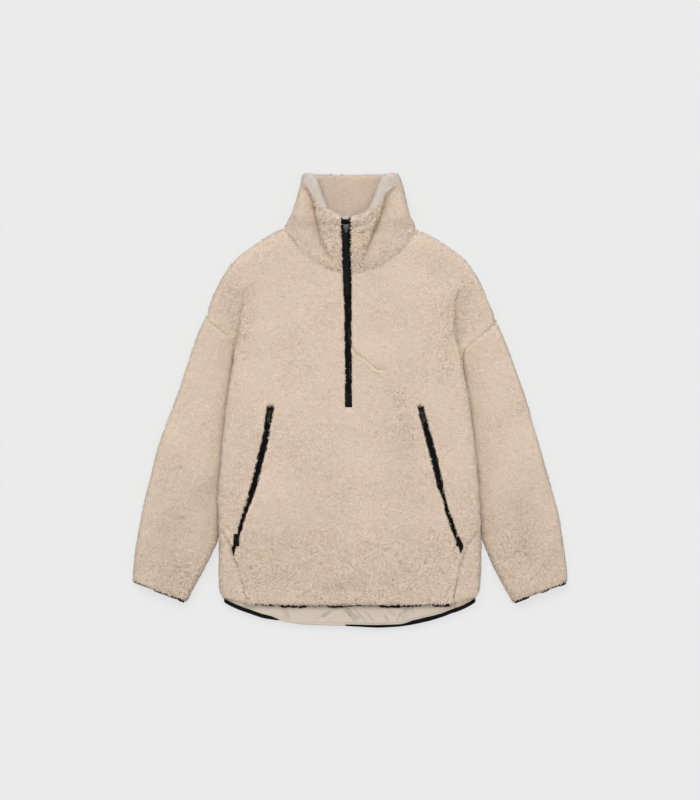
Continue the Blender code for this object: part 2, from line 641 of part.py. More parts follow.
def swelling(distance, form):
    """Height of a rounded ridge along the rim; form is its distance, width and height."""
    middle, width, height = form
    return height * math.exp(-((distance - middle) / width) ** 2)


def crease_at(x, y, side):
    """How deep the collar's side crease is at a place: steep inside, easing out to the side."""
    line = COLLAR_CREASE[side]
    outward = -1.0 if side == "left" else 1.0
    away = (x - read(line, y, 1)) * outward
    depth = read(line, y, 2) * ease((y - 255.0) / 15.0)
    return depth * math.exp(-(away / (17.0 if away > 0 else 6.5)) ** 2)


def collar_point(share, height, face, depth):
    """A point of the collar's wall at a depth from 0, the outside, to 1, the inside."""
    x, y = collar_place(share, height, face)
    half = (read(COLLAR_SIDES, height, 2) - read(COLLAR_SIDES, height, 1)) / 2.0
    away = (1.0 - abs(share)) * half
    edge = read(COLLAR_EDGE, height, 1)
    up = rise(away, edge)
    inward = 1.0 if share < 0 else -1.0
    shift = inward * COLLAR_FOLD_SHIFT * edge * (1.0 - min(away / edge, 1.0)) * depth
    lying = collar_back_top(share, y)
    level = lying + 1.0
    from_rim = rim_distance(x, y, face)
    rim = COLLAR_RIM * RIM_TURN * (1.0 - rise(from_rim, COLLAR_RIM))
    if face > 0:
        open_mouth = COLLAR_MOUTH * (1.0 - share * share) * ease(height / 0.6)
        inside = lying + LYING_GAP + open_mouth
        wall = COLLAR_SEAM_WALL + (COLLAR_WALL - COLLAR_SEAM_WALL) * ease(height / 0.45)
        roll = swelling(from_rim, COLLAR_ROLL)
        hollow = swelling(from_rim, COLLAR_HOLLOW) * ease((0.5 - abs(share)) / 0.2)
        outside = inside + wall + roll - hollow
        outside -= crease_at(x, y, "left") + crease_at(x, y, "right")
        high, low = outside - rim, inside + rim
    else:
        high, low = rim, lying - rim
    z = high + (low - high) * depth
    return x + shift, y, level + (z - level) * up


def seam_shares(places):
    """Places across the neck seam as shares from -1, the left shoulder, to 1, the right."""
    half = (places[-1] - places[0]) / 2.0
    return [(x - places[0]) / half - 1.0 for x in places]


def collar_stations(height):
    """(share, face) round the collar at a height: front from the zip, back, and front again.

    At the neck seam they are the columns of the front and back panels, so the seams fit.
    """
    row = named(FRONT_COLUMNS, FRONT_ROWS[0])
    front = seam_shares(front_columns(row, row["middle"]))
    back = seam_shares(back_columns(named(FRONT_COLUMNS, FRONT_ROWS[0])))
    left, right = read(COLLAR_SIDES, height, 1), read(COLLAR_SIDES, height, 2)
    zip_y = collar_place(0.0, height, 1.0)[1]
    slot = [(edge - (left + right) / 2.0) / ((right - left) / 2.0) for edge in zip_edges(zip_y)]
    left_front = [slot[0] - (slot[0] + 1.0) * (front[ZIP_CELL] - share) / (front[ZIP_CELL] + 1.0)
                  for share in reversed(front[:ZIP_CELL + 1])]
    right_front = [slot[1] + (1.0 - slot[1]) * (share - front[ZIP_CELL + 1])
                   / (1.0 - front[ZIP_CELL + 1]) for share in reversed(front[ZIP_CELL + 1:])]
    stations = [(share, 1.0) for share in left_front]
    stations += [(share, -1.0) for share in back[1:-1]]
    return stations + [(share, 1.0) for share in right_front]


def build_collar_layer(name, shallow, deep, colour):
    """One layer of the stand collar, open at the zip, between two depths of the wall."""
    outer, inner = [], []
    for height in COLLAR_HEIGHTS:
        stations = collar_stations(height)
        outer.append([collar_point(share, height, face, shallow) for share, face in stations])
        inner.append([collar_point(share, height, face, deep) for share, face in stations])
    return sheet_solid(name, outer, inner, colour)


def strip(name, line, left, right, thick, colour, roughness=0.8, pivot=(0, 0, 0)):
    """Flat band along (y, x, z) places, from left to right of them, z its underside."""
    top = [[(x + left, y, z + thick), (x + right, y, z + thick)] for y, x, z in line]
    under = [[(x + left, y, z), (x + right, y, z)] for y, x, z in line]
    return sheet_solid(name, top, under, colour, roughness, pivot=pivot)


def block(name, size, centre, colour, home=pullover, parent=None, bevel=0.0, taper=1.0):
    """Box with rounded edges, narrower at its -Y end by taper."""
    shape = bmesh.new()
    bmesh.ops.create_cube(shape, size=1.0)
    for vertex in shape.verts:
        narrow = taper if vertex.co.y < 0 else 1.0
        vertex.co = Vector((vertex.co.x * size[0] * narrow, vertex.co.y * size[1],
                            vertex.co.z * size[2])) * MM
    mesh_data = bpy.data.meshes.new(name)
    shape.to_mesh(mesh_data)
    shape.free()
    item = place(name, mesh_data, colour, METAL_ROUGHNESS, 0.8, home)
    item.location = Vector(centre) * MM
    item.parent = parent
    if bevel:
        rounding = item.modifiers.new("rounding", "BEVEL")
        rounding.width = bevel * MM
        rounding.segments = 2
    return item


def combine(item, other, operation):
    """Boolean union or cut with a hidden piece."""
    other.hide_render = True
    other.display_type = "WIRE"
    boolean = item.modifiers.new(operation.lower(), "BOOLEAN")
    boolean.operation = operation
    boolean.solver = "EXACT"
    boolean.object = other


def mark(name, centre, turn, tilt):
    """Empty that carries a slider or a pull tab, turned along its zip."""
    empty = bpy.data.objects.new(name, None)
    pullover.objects.link(empty)
    empty.location = Vector(centre) * MM
    empty.rotation_euler = (tilt, 0.0, turn)
    return empty


def build_slider(name, base, size, turn, tilt=0.0):
    """Slider on a zip: a tapered body, and a bridge on two posts that holds the pull tab."""
    width, length, thick = size
    carrier = mark(f"{name}_place", base, turn, tilt)
    body = block(name, size, (0.0, 0.0, thick / 2), BLACK_METAL, parent=carrier, bevel=0.8,
                 taper=SLIDER_TAPER)
    reach = POST_REACH * length
    for end in (-reach, reach):
        post = block(f"{name}_post", (BRIDGE_WIDTH, POST_LENGTH, BRIDGE_CLEAR + 1.0),
                     (0.0, end, thick + BRIDGE_CLEAR / 2), BLACK_METAL, cutters, carrier)
        combine(body, post, "UNION")
    bar = block(f"{name}_bridge", (BRIDGE_WIDTH, 2 * reach + POST_LENGTH, BRIDGE_THICK),
                (0.0, 0.0, thick + BRIDGE_CLEAR + BRIDGE_THICK / 2), BLACK_METAL, cutters, carrier)
    combine(body, bar, "UNION")


def build_pull_tab(name, base, slider, size, turn, tilt=0.0):
    """Pull tab: a flat ring that hangs on a slider's bridge, its origin on its hinge."""
    rise_to_hinge = slider[2] + BRIDGE_CLEAR / 2
    hinge = (base[0] + rise_to_hinge * math.sin(tilt) * math.sin(turn),
             base[1] - rise_to_hinge * math.sin(tilt) * math.cos(turn),
             base[2] + rise_to_hinge * math.cos(tilt))
    carrier = mark(f"{name}_hinge", hinge, turn, tilt)
    width, length = size
    tab = block(name, (width, length, PULL_THICK), (0.0, PULL_END - length / 2, 0.0),
                BLACK_METAL, parent=carrier, bevel=0.4, taper=0.85)
    hole = block(f"{name}_hole", (*PULL_HOLE, 10.0), (0.0, -PULL_END - PULL_HOLE[1] / 2, 0.0),
                 BLACK_METAL, cutters, carrier)
    combine(tab, hole, "DIFFERENCE")
    return hinge


def build_front_zip():
    """Two tapes with the closed coil between them, a pale top tab and a woven end tab."""
    ys = [ZIP_END + SEAM_GAP, 100, 190, 215, 235, 255, 275, 300, 347]
    left_tape, right_tape = [], []
    for y in ys:
        left_edge, right_edge = zip_edges(y)
        centre, z = read(ZIP_LINE, y, 1), read(ZIP_LINE, y, 3)
        left_tape.append(((left_edge + SEAM_GAP, y, z), (centre - COIL_HALF - SEAM_GAP, y, z)))
        right_tape.append(((centre + COIL_HALF + SEAM_GAP, y, z), (right_edge - SEAM_GAP, y, z)))
    for name, tape in (("zip_tape_left", left_tape), ("zip_tape_right", right_tape)):
        top = [[(x, y, z + TAPE_THICK) for x, y, z in row] for row in tape]
        sheet_solid(name, top, tape, BLACK_TAPE, 0.8)
    line = [(y, read(ZIP_LINE, y, 1), read(ZIP_LINE, y, 3)) for y in ys[:-1] + [336]]
    strip("zip_coil", line, -COIL_HALF, COIL_HALF, COIL_THICK, BLACK_TAPE, 0.5)
    z_top = read(ZIP_LINE, 347, 3) + TAPE_THICK + SEAM_GAP
    strip("zip_top_tab", [(341, -7.6, z_top), (347, -7.6, z_top + 0.6), (350.5, -7.6, z_top + 0.6)],
          -6.5, 6.5, 2.4, PALE_TAB)
    z_end = read(ZIP_LINE, 0, 3) + COIL_THICK + SEAM_GAP
    strip("zip_end_tab", [(ZIP_END + 2 * SEAM_GAP, -2.8, z_end), (15, -2.9, z_end)],
          -6.3, 6.3, 1.4, BLACK_TAPE)


def build_front_slider():
    """Slider near the top of the collar, its pull tab, and the webbing strap sewn to the tab."""
    base = (read(ZIP_LINE, FRONT_SLIDER_Y, 1), FRONT_SLIDER_Y,
            read(ZIP_LINE, FRONT_SLIDER_Y, 3) + COIL_THICK + 2 * SEAM_GAP)
    build_slider("front_slider", base, FRONT_SLIDER, 0.0, ZIP_TILT)
    hinge = build_pull_tab("front_pull_tab", base, FRONT_SLIDER, FRONT_PULL, 0.0, ZIP_TILT)
    strip("front_pull_strap", STRAP_LINE, -STRAP_WIDTH / 2, STRAP_WIDTH / 2, STRAP_THICK,
          BLACK_TAPE, 0.6, pivot=hinge)


def pocket_line(side):
    """(y, x) of a pocket's slit at each of the front's sections that it crosses."""
    places = []
    for values in FRONT_ROWS[POCKET_ROWS[0]:POCKET_ROWS[1] + 1]:
        row = named(FRONT_COLUMNS, values)
        x = row[f"pocket_{side}"]
        places.append((row_y(row, x), x))
    return places


def build_pocket_zip(side):
    """Pocket zip: tape with its closed coil, a slider at the top, its tab and an end tab."""
    line = pocket_line(side)
    line[0] = (line[0][0] - SEAM_GAP, line[0][1])
    line[-1] = (line[-1][0] + SEAM_GAP, line[-1][1])
    tape = POCKET_HALF - SEAM_GAP
    across = ((-tape, 0.0), (-2.0, 0.0), (-1.5, COIL_THICK), (1.5, COIL_THICK), (2.0, 0.0),
              (tape, 0.0))
    top = [[(x + step, y, POCKET_TAPE_Z + TAPE_THICK + lift) for step, lift in across]
           for y, x in line]
    under = [[(x + step, y, POCKET_TAPE_Z) for step, _ in across] for y, x in line]
    sheet_solid(f"pocket_zip_{side}", top, under, BLACK_TAPE, 0.8)
    x = read(line, POCKET_SLIDER_Y, 1)
    slope = (read(line, POCKET_SLIDER_Y - 9, 1) - read(line, POCKET_SLIDER_Y + 9, 1)) / 18.0
    base = (x, POCKET_SLIDER_Y, POCKET_TAPE_Z + TAPE_THICK + COIL_THICK + SEAM_GAP)
    turn = math.atan(slope)
    build_slider(f"pocket_slider_{side}", base, POCKET_SLIDER, turn)
    build_pull_tab(f"pocket_pull_{side}", base, POCKET_SLIDER, POCKET_PULL, turn)
    row = named(FRONT_COLUMNS, FRONT_ROWS[POCKET_ROWS[1]])
    patch = [(y, x, max(front_height(x + step, y, row, 99.0) for step in (-4.0, 0.0, 4.0)) + 0.4)
             for y, x in POCKET_END_TABS[side]]
    strip(f"pocket_end_tab_{side}", patch, -POCKET_TAB_HALF, POCKET_TAB_HALF, 1.4, BLACK_TAPE)


start_scene()
build_back()
build_front()
for side_name in ("left", "right"):
    build_side(side_name)
    build_sleeve(side_name)
    build_cuff_binding(side_name)
build_collar_layer("collar_outer", 0.0, OUTER_SHARE, FLEECE)
build_collar_layer("collar_inner", OUTER_SHARE + 0.04, 1.0, FLEECE_INSIDE)
build_lining()
build_front_binding()
build_back_binding()
build_front_zip()
build_front_slider()
for side_name in ("left", "right"):
    build_pocket_zip(side_name)
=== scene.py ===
"""Looks of a sherpa fleece pullover that lies flat on its back, front up, collar towards +Y.

Each piece of cloth is a thin closed shell on the form of its solid, with its creases and a
layer of curled pile. Lengths in tables and formulas are in millimetres.
"""

import math

import bmesh
import bpy
import numpy as np
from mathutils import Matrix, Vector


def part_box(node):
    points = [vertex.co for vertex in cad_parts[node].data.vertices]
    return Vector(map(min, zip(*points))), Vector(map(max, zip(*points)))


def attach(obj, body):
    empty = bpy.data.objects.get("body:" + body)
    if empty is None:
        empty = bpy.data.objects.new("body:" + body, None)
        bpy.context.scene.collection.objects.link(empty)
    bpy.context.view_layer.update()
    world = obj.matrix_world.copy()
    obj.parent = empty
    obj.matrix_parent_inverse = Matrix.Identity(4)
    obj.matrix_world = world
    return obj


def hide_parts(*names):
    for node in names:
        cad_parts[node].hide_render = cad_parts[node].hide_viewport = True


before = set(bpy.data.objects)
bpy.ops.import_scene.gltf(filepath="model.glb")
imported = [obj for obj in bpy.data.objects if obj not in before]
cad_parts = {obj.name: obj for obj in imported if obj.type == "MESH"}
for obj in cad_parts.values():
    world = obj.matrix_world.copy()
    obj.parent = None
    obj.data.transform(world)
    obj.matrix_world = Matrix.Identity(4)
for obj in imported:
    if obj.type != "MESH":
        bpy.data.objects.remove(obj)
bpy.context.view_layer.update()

MM = 0.001                # one millimetre in metres
PER_M = 1000.0            # millimetres in a metre
WHITE = (1.0, 1.0, 1.0, 1.0)
scene = bpy.context.scene

# ----------------------------------------
# Camera, light and floor: seen from straight above with the collar up, in soft studio light,
# on a plain pale floor. One pixel of a picture 800 pixels high is 1.9 mm of the garment.
CAMERA_HEIGHT = 5.0
CAMERA_Y = 0.001
CAMERA_SPAN = 1.52        # height that the picture shows, at half the garment's thickness
HALF_THICKNESS = 0.018
STUDIO_LIGHT = 0.68       # light from all round
FLOOR_SIDE = 12.0
PAPER = (0.13, 0.13, 0.13, 1.0)
PAPER_ROUGHNESS = 0.9
PAPER_GLOW = 0.664        # light through the paper from below, so that its shadows are faint

camera_data = bpy.data.cameras.new("camera")
camera = bpy.data.objects.new("camera", camera_data)
scene.collection.objects.link(camera)
camera.location = (0.0, CAMERA_Y, CAMERA_HEIGHT)
camera_data.angle = 2.0 * math.atan(CAMERA_SPAN / 2.0 / (CAMERA_HEIGHT - HALF_THICKNESS))
scene.camera = camera
scene.view_settings.view_transform = "Standard"


def sun(name, strength, softness, tilt, turn):
    """Distant soft light, tilted from overhead towards +Y and turned about the vertical."""
    lamp = bpy.data.lights.new(name, "SUN")
    lamp.energy = strength
    lamp.angle = math.radians(softness)
    item = bpy.data.objects.new(name, lamp)
    item.rotation_euler = (-math.radians(tilt), 0.0, math.radians(turn))
    scene.collection.objects.link(item)


sun("key", strength=1.55, softness=40.0, tilt=40.0, turn=18.0)
sun("fill", strength=0.42, softness=60.0, tilt=35.0, turn=-60.0)

world = bpy.data.worlds.new("studio")
scene.world = world
world.use_nodes = True
world.node_tree.nodes["Background"].inputs["Color"].default_value = WHITE
world.node_tree.nodes["Background"].inputs["Strength"].default_value = STUDIO_LIGHT

floor_mesh = bpy.data.meshes.new("floor")
half = FLOOR_SIDE / 2.0
floor_mesh.from_pydata([(-half, -half, 0), (half, -half, 0), (half, half, 0), (-half, half, 0)],
                       [], [(0, 1, 2, 3)])
floor = bpy.data.objects.new("floor", floor_mesh)
scene.collection.objects.link(floor)
floor_material = bpy.data.materials.new("paper")
floor_material.use_nodes = True
floor_shader = floor_material.node_tree.nodes["Principled BSDF"]
floor_shader.inputs["Base Color"].default_value = PAPER
floor_shader.inputs["Roughness"].default_value = PAPER_ROUGHNESS
floor_shader.inputs["Emission Color"].default_value = WHITE
floor_shader.inputs["Emission Strength"].default_value = PAPER_GLOW
floor_mesh.materials.append(floor_material)

# ----------------------------------------
# Shared tools: smooth readings of tables, repeatable noise, closed shells between two grids of
# points, and the curled tufts of pile that stand on them.


def read(table, key, value_column, key_column=0):
    """Straight-line reading of a table's column at key, a number or an array."""
    rows = np.array(sorted(table, key=lambda row: row[key_column]), float)
    return np.interp(key, rows[:, key_column], rows[:, value_column])


CORNER = (-0.4, -0.2, 0.0, 0.2, 0.4)    # row numbers round a row that are averaged at it


def smooth_rows(table, names, numbers):
    """Columns of a table by name at row numbers, straight between rows with soft corners."""
    values = np.array(table, float)
    longer = np.vstack([2 * values[0] - values[1], values, 2 * values[-1] - values[-2]])
    places = np.arange(len(longer))
    return {name: sum(np.interp(numbers + 1 + shift, places, longer[:, i]) for shift in CORNER)
            / len(CORNER) for i, name in enumerate(names)}


def even_rows(track, marks, pitch, step):
    """Row numbers about pitch apart along a falling track of y, meeting each marked row."""
    numbers = np.arange(len(track))
    falling = -np.array(track, float)
    places = []
    for start, end in zip(marks, marks[1:]):
        low, high = np.interp((start, end), numbers, falling)
        cells = max(1, round((high - low) / (pitch * step)))
        places.extend(np.interp(np.linspace(low, high, cells * step + 1), falling, numbers)[:-1])
    return np.array(places + [marks[-1]], float)


def ease(value):
    """0 to 1 with soft ends."""
    value = np.clip(value, 0.0, 1.0)
    return value * value * (3.0 - 2.0 * value)


def rise(share):
    """Quarter ellipse: height of a rounded edge, 0 to 1, at a share of its width from it."""
    left = 1.0 - np.clip(share, 0.0, 1.0)
    return np.sqrt(np.maximum(1.0 - left * left, 0.0))


def bell(distance, width):
    """1 at no distance, fading to 0 over about twice width."""
    return np.exp(-(distance / width) ** 2)


def to_segment(x, y, start, end):
    """Distance in plan from places to a straight piece."""
    along_x, along_y = end[0] - start[0], end[1] - start[1]
    share = ((x - start[0]) * along_x + (y - start[1]) * along_y) / (along_x ** 2 + along_y ** 2)
    share = np.clip(share, 0.0, 1.0)
    return np.hypot(x - start[0] - share * along_x, y - start[1] - share * along_y)


def to_line(x, y, line):
    """Distance in plan from places to a line through several points."""
    away = np.full(np.shape(x), 1e6)
    for start, end in zip(line, line[1:]):
        away = np.minimum(away, to_segment(x, y, start, end))
    return away


def folds_at(x, y, folds):
    """Sum of the soft folds of a table at places, each a rounded ridge or trough."""
    total = np.zeros(np.shape(x))
    for start_x, start_y, end_x, end_y, width, height in folds:
        total += height * bell(to_segment(x, y, (start_x, start_y), (end_x, end_y)), width)
    return total


def lattice(ix, iy, seed):
    """Repeatable random value, 0 to 1, at whole-number places: their bits mixed by products."""
    mixed = (ix.astype(np.int64) * 374761393 + iy.astype(np.int64) * 668265263
             + seed * 974711) & 0xFFFFFFFF
    mixed = ((mixed ^ (mixed >> 13)) * 1274126177) & 0xFFFFFFFF
    return ((mixed ^ (mixed >> 16)) & 0xFFFF) / 65535.0


def noise(x, y, seed=0):
    """Smooth noise, -1 to 1, with features about one unit across."""
    ix, iy = np.floor(x), np.floor(y)
    sx, sy = ease(x - ix), ease(y - iy)
    low = lattice(ix, iy, seed) * (1 - sx) + lattice(ix + 1, iy, seed) * sx
    high = lattice(ix, iy + 1, seed) * (1 - sx) + lattice(ix + 1, iy + 1, seed) * sx
    return 2.0 * (low * (1 - sy) + high * sy) - 1.0


def normals_of(grid, closed=False):
    """Unit normals of a grid of points, on the side where rows x columns turn outwards."""
    down = np.gradient(grid, axis=0)
    if closed:
        over = (np.roll(grid, -1, axis=1) - np.roll(grid, 1, axis=1)) / 2.0
    else:
        over = np.gradient(grid, axis=1)
    normal = np.cross(down, over)
    return normal / np.maximum(np.linalg.norm(normal, axis=-1, keepdims=True), 1e-9)


FLOOR_GAP = 0.05          # between the floor and the lowest pile


def plan(points):
    """x and y of points."""
    return points[..., 0], points[..., 1]


def above_floor(grid):
    """Points with their z at least FLOOR_GAP."""
    grid[..., 2] = np.maximum(grid[..., 2], FLOOR_GAP)
    return grid


def mesh_piece(name, points, faces, material, body="garment", values=None, smooth=True):
    """Mesh object of points in millimetres that rides on a body; values go on its points."""
    data = bpy.data.meshes.new(name)
    data.from_pydata((np.asarray(points) * MM).tolist(), [], faces)
    data.polygons.foreach_set("use_smooth", [smooth] * len(data.polygons))
    for key, numbers in (values or {}).items():
        data.attributes.new(key, "FLOAT", "POINT").data.foreach_set(
            "value", np.ascontiguousarray(numbers, dtype=np.float32))
    data.materials.append(material)
    data.update()
    piece = bpy.data.objects.new(name, data)
    scene.collection.objects.link(piece)
    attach(piece, body)
    return piece


def turn_out(piece):
    """Makes the faces of a closed mesh point out."""
    shape = bmesh.new()
    shape.from_mesh(piece.data)
    bmesh.ops.recalc_face_normals(shape, faces=shape.faces)
    shape.to_mesh(piece.data)
    shape.free()


def shell(name, top, under, steps, material, cut=(), closed=False, values=None,
          body="garment"):
    """Closed cloth between a fine grid of points, top, and a coarse one, under.

    One cell of under is steps[0] rows by steps[1] columns of top. cut holds the coarse cells
    that are left out. closed joins the last column to the first, as round a sleeve.
    """
    rows, columns = top.shape[:2]
    coarse_columns = under.shape[1]
    spans = (under.shape[0] - 1, coarse_columns if closed else coarse_columns - 1)
    kept = np.ones(spans, bool)
    for i, j in cut:
        kept[i, j] = False
    fine = np.repeat(np.repeat(kept, steps[0], 0), steps[1], 1)
    r, c = np.nonzero(fine)
    after = (c + 1) % columns
    faces = np.stack([r * columns + c, (r + 1) * columns + c,
                      (r + 1) * columns + after, r * columns + after], 1).tolist()
    base = rows * columns
    i, j = np.nonzero(kept)
    beyond = (j + 1) % coarse_columns
    faces += (base + np.stack([i * coarse_columns + j, i * coarse_columns + beyond,
                               (i + 1) * coarse_columns + beyond,
                               (i + 1) * coarse_columns + j], 1)).tolist()
    for i, j in zip(*np.nonzero(kept)):
        corners = ((i, j), (i, j + 1), (i + 1, j + 1), (i + 1, j))
        beside = ((i - 1, j), (i, j + 1), (i + 1, j), (i, j - 1))
        for side, (bi, bj) in enumerate(beside):
            if closed:
                bj %= spans[1]
            if 0 <= bi < spans[0] and 0 <= bj < spans[1] and kept[bi, bj]:
                continue
            start, end = corners[side], corners[(side + 1) % 4]
            count = steps[0] if start[1] == end[1] else steps[1]
            edge = [(start[0] * steps[0] + (end[0] - start[0]) * steps[0] * k // count,
                     start[1] * steps[1] + (end[1] - start[1]) * steps[1] * k // count)
                    for k in range(count + 1)]
            wall = [row * columns + column % columns for row, column in edge]
            wall += [base + end[0] * coarse_columns + end[1] % coarse_columns,
                     base + start[0] * coarse_columns + start[1] % coarse_columns]
            faces.append(wall)
    points = np.vstack([top.reshape(-1, 3), under.reshape(-1, 3)])
    numbers = {key: np.concatenate([grid.ravel(), np.zeros(under.shape[0] * under.shape[1])])
               for key, grid in (values or {}).items()}
    used = np.unique(np.concatenate([np.array(face) for face in faces]))
    places = np.full(len(points), -1)
    places[used] = np.arange(len(used))
    faces = [[places[index] for index in face] for face in faces]
    piece = mesh_piece(name, points[used], faces, material, body,
                       values={key: number[used] for key, number in numbers.items()})
    turn_out(piece)
    return piece


def scatter(grid, weight, per_mm2, seed, closed=False, outward=1.0):
    """Even random places on a grid's cells, more where weight is high, with their normals."""
    random = np.random.default_rng(seed)
    if closed:
        grid = np.concatenate([grid, grid[:, :1]], axis=1)
        weight = np.concatenate([weight, weight[:, :1]], axis=1)
    corner = grid[:-1, :-1]
    down, over = grid[1:, :-1] - corner, grid[:-1, 1:] - corner
    far = grid[1:, 1:] - corner
    area = 0.5 * np.linalg.norm(np.cross(far, down), axis=-1)
    area += 0.5 * np.linalg.norm(np.cross(over, far), axis=-1)
    wanted = area * per_mm2 * np.maximum(weight[:-1, :-1], 0.0)
    count = np.floor(wanted + random.random(wanted.shape)).astype(int)
    r, c = np.nonzero(count)
    r, c = np.repeat(r, count[r, c]), np.repeat(c, count[r, c])
    a, b = random.random(len(r))[:, None], random.random(len(r))[:, None]
    here = (grid[r, c] * (1 - a) * (1 - b) + grid[r + 1, c] * a * (1 - b)
            + grid[r, c + 1] * (1 - a) * b + grid[r + 1, c + 1] * a * b)
    normal = np.cross(down[r, c], over[r, c]) * outward
    normal /= np.maximum(np.linalg.norm(normal, axis=1, keepdims=True), 1e-9)
    return here, normal


FRINGE_LEAN = 0.6         # how far a fringe's normals lean, as a share of their height


def fringe(line, per_mm, spread, seed):
    """Random places beside a line of points, at most spread off it, with leaning normals."""
    random = np.random.default_rng(seed)
    lengths = np.linalg.norm(np.diff(line, axis=0), axis=1)
    reach = np.concatenate([[0.0], np.cumsum(lengths)])
    count = int(reach[-1] * per_mm)
    along = random.random(count) * reach[-1]
    base = np.stack([np.interp(along, reach, line[:, axis]) for axis in range(3)], 1)
    base[:, :2] += spread * (2.0 * random.random((count, 2)) - 1.0)
    lean = FRINGE_LEAN * (2.0 * random.random((count, 2)) - 1.0)
    normal = np.hstack([lean, np.ones((count, 1))])
    return base, normal / np.linalg.norm(normal, axis=1, keepdims=True)


SMOOTH_LOCK = (4.2, 1.7, 0.9)     # length, thickness and lift of a lock of brushed pile
CURLY_LOCK = (6.2, 2.3, 1.8)      # the same of curled pile
LOCK_SIZES = (0.7, 0.6)           # share of those that every lock has, and the most on top
LOCK_FOOT = 0.9                   # how deep its foot is sunk
LOCK_MIDDLE = 0.42                # where its middle stands, as a share of its length
LOCK_TIPS = (0.0, 0.62, 0.62, 0.62, 1.0)
LOCK_BEND = 1.3                   # widest turn of a tip from its lock, in radians
TIP_DROP = 0.35                   # a tip's height, as a share of the middle's
LOCK_PATCH = 13.0                 # size of the patches whose locks turn the same way
SLANT = 0.7071                    # one step shared by two directions at right angles
PILE_PER_MM2 = 0.185


def tufts(name, base, normal, curly, material, seed, flow=(0.0, -1.0, 0.0), swirl=1.6,
          scale=1.0, values=None):
    """Curled locks of pile, each of 5 points: a foot, a ring of three in the middle and a tip.

    curly, 0 to 1 at each lock, is how long, thick and upright it is: 0 is brushed smooth and 1
    stands in curls. flow is the way that the pile lies, and swirl how far each lock turns from
    it, in radians. Smooth pile takes most of its shading from the cloth that it lies on.
    """
    random = np.random.default_rng(seed)
    count = len(base)
    curly = np.broadcast_to(curly, count)[:, None]
    size = scale * (np.array(SMOOTH_LOCK) * (1.0 - curly) + np.array(CURLY_LOCK) * curly)
    size = size * (LOCK_SIZES[0] + LOCK_SIZES[1] * random.random((count, 3)))
    length, thick, lift = size.T[:, :, None]
    patch = noise(base[:, 0] / LOCK_PATCH, base[:, 1] / LOCK_PATCH, seed + 3)
    turn = swirl * (patch + 0.9 * (2 * random.random(count) - 1))
    heading = np.array(flow, float)
    lay = heading - normal * (normal @ heading)[:, None]
    weak = np.linalg.norm(lay, axis=1) < 0.2
    lay[weak] = np.cross(normal[weak], (1.0, 0.0, 0.0))
    lay /= np.linalg.norm(lay, axis=1, keepdims=True)
    side = np.cross(normal, lay)
    lay = lay * np.cos(turn)[:, None] + side * np.sin(turn)[:, None]
    side = np.cross(normal, lay)
    bend = (random.random(count)[:, None] - 0.5) * LOCK_BEND
    middle = base + lay * length * LOCK_MIDDLE + normal * lift
    points = np.empty((count, 5, 3))
    points[:, 0] = base - LOCK_FOOT * normal
    for k in range(3):
        angle = math.tau * k / 3.0
        across = math.cos(angle) * (lay - normal) * SLANT + math.sin(angle) * side
        points[:, 1 + k] = middle + thick * 0.5 * across
    points[:, 4] = base + lay * length + side * bend * length * 0.7 + normal * lift * TIP_DROP
    points = above_floor(points)
    own = points - (points[:, 0] + middle)[:, None] / 2.0
    own /= np.maximum(np.linalg.norm(own, axis=2, keepdims=True), 1e-9)
    share = (0.2 + 0.12 * curly)[:, None]
    facing = own * share + normal[:, None] * (1.0 - share)
    facing /= np.linalg.norm(facing, axis=2, keepdims=True)
    start = 5 * np.arange(count)[:, None]
    sides = ((1, 2, 4), (2, 3, 4), (3, 1, 4), (2, 1, 0), (3, 2, 0), (1, 3, 0))
    faces = np.vstack([start + np.array(face) for face in sides]).tolist()
    tip_share = np.tile(LOCK_TIPS, count)
    lock = np.repeat(random.random(count), 5)
    own_values = {key: np.repeat(number, 5) for key, number in (values or {}).items()}
    piece = mesh_piece(name, points.reshape(-1, 3), faces, material, "garment",
                       {"tip": tip_share, "lock": lock, **own_values})
    piece.data.normals_split_custom_set_from_vertices(facing.reshape(-1, 3).tolist())
    return piece


# ----------------------------------------
# Fleece: cream polyester pile, knitted and brushed up in curled locks, with painted shade,
# darker and tanner, down between them, and a little sheen of fibre ends.


def socket(group, name, value=None):
    """Named number of a node group: an input that starts at a value, or else an output."""
    made = group.interface.new_socket(name=name, in_out="OUTPUT" if value is None else "INPUT",
                                      socket_type="NodeSocketFloat")
    if value is not None:
        made.default_value = value


def wire(tree, source, target):
    """Link from an output to an input."""
    tree.links.new(source, target)


def add_node(tree, kind, **settings):
    """New shader node with its settings and, by name or number, its input values."""
    item = tree.nodes.new(kind)
    inputs = settings.pop("inputs", {})
    for key, value in settings.items():
        setattr(item, key, value)
    for key, value in inputs.items():
        item.inputs[key].default_value = value
    return item


def maths(tree, operation, *terms):
    """Output of a maths node whose terms are numbers or other outputs."""
    item = add_node(tree, "ShaderNodeMath", operation=operation)
    for place, term in zip(item.inputs, terms):
        if isinstance(term, float):
            place.default_value = term
        else:
            wire(tree, term, place)
    return item.outputs[0]


def principled(name, roughness, specular):
    """New material, its node tree and its shader."""
    material = bpy.data.materials.new(name)
    material.use_nodes = True
    shader = material.node_tree.nodes["Principled BSDF"]
    shader.inputs["Roughness"].default_value = roughness
    shader.inputs["Specular IOR Level"].default_value = specular
    return material, material.node_tree, shader


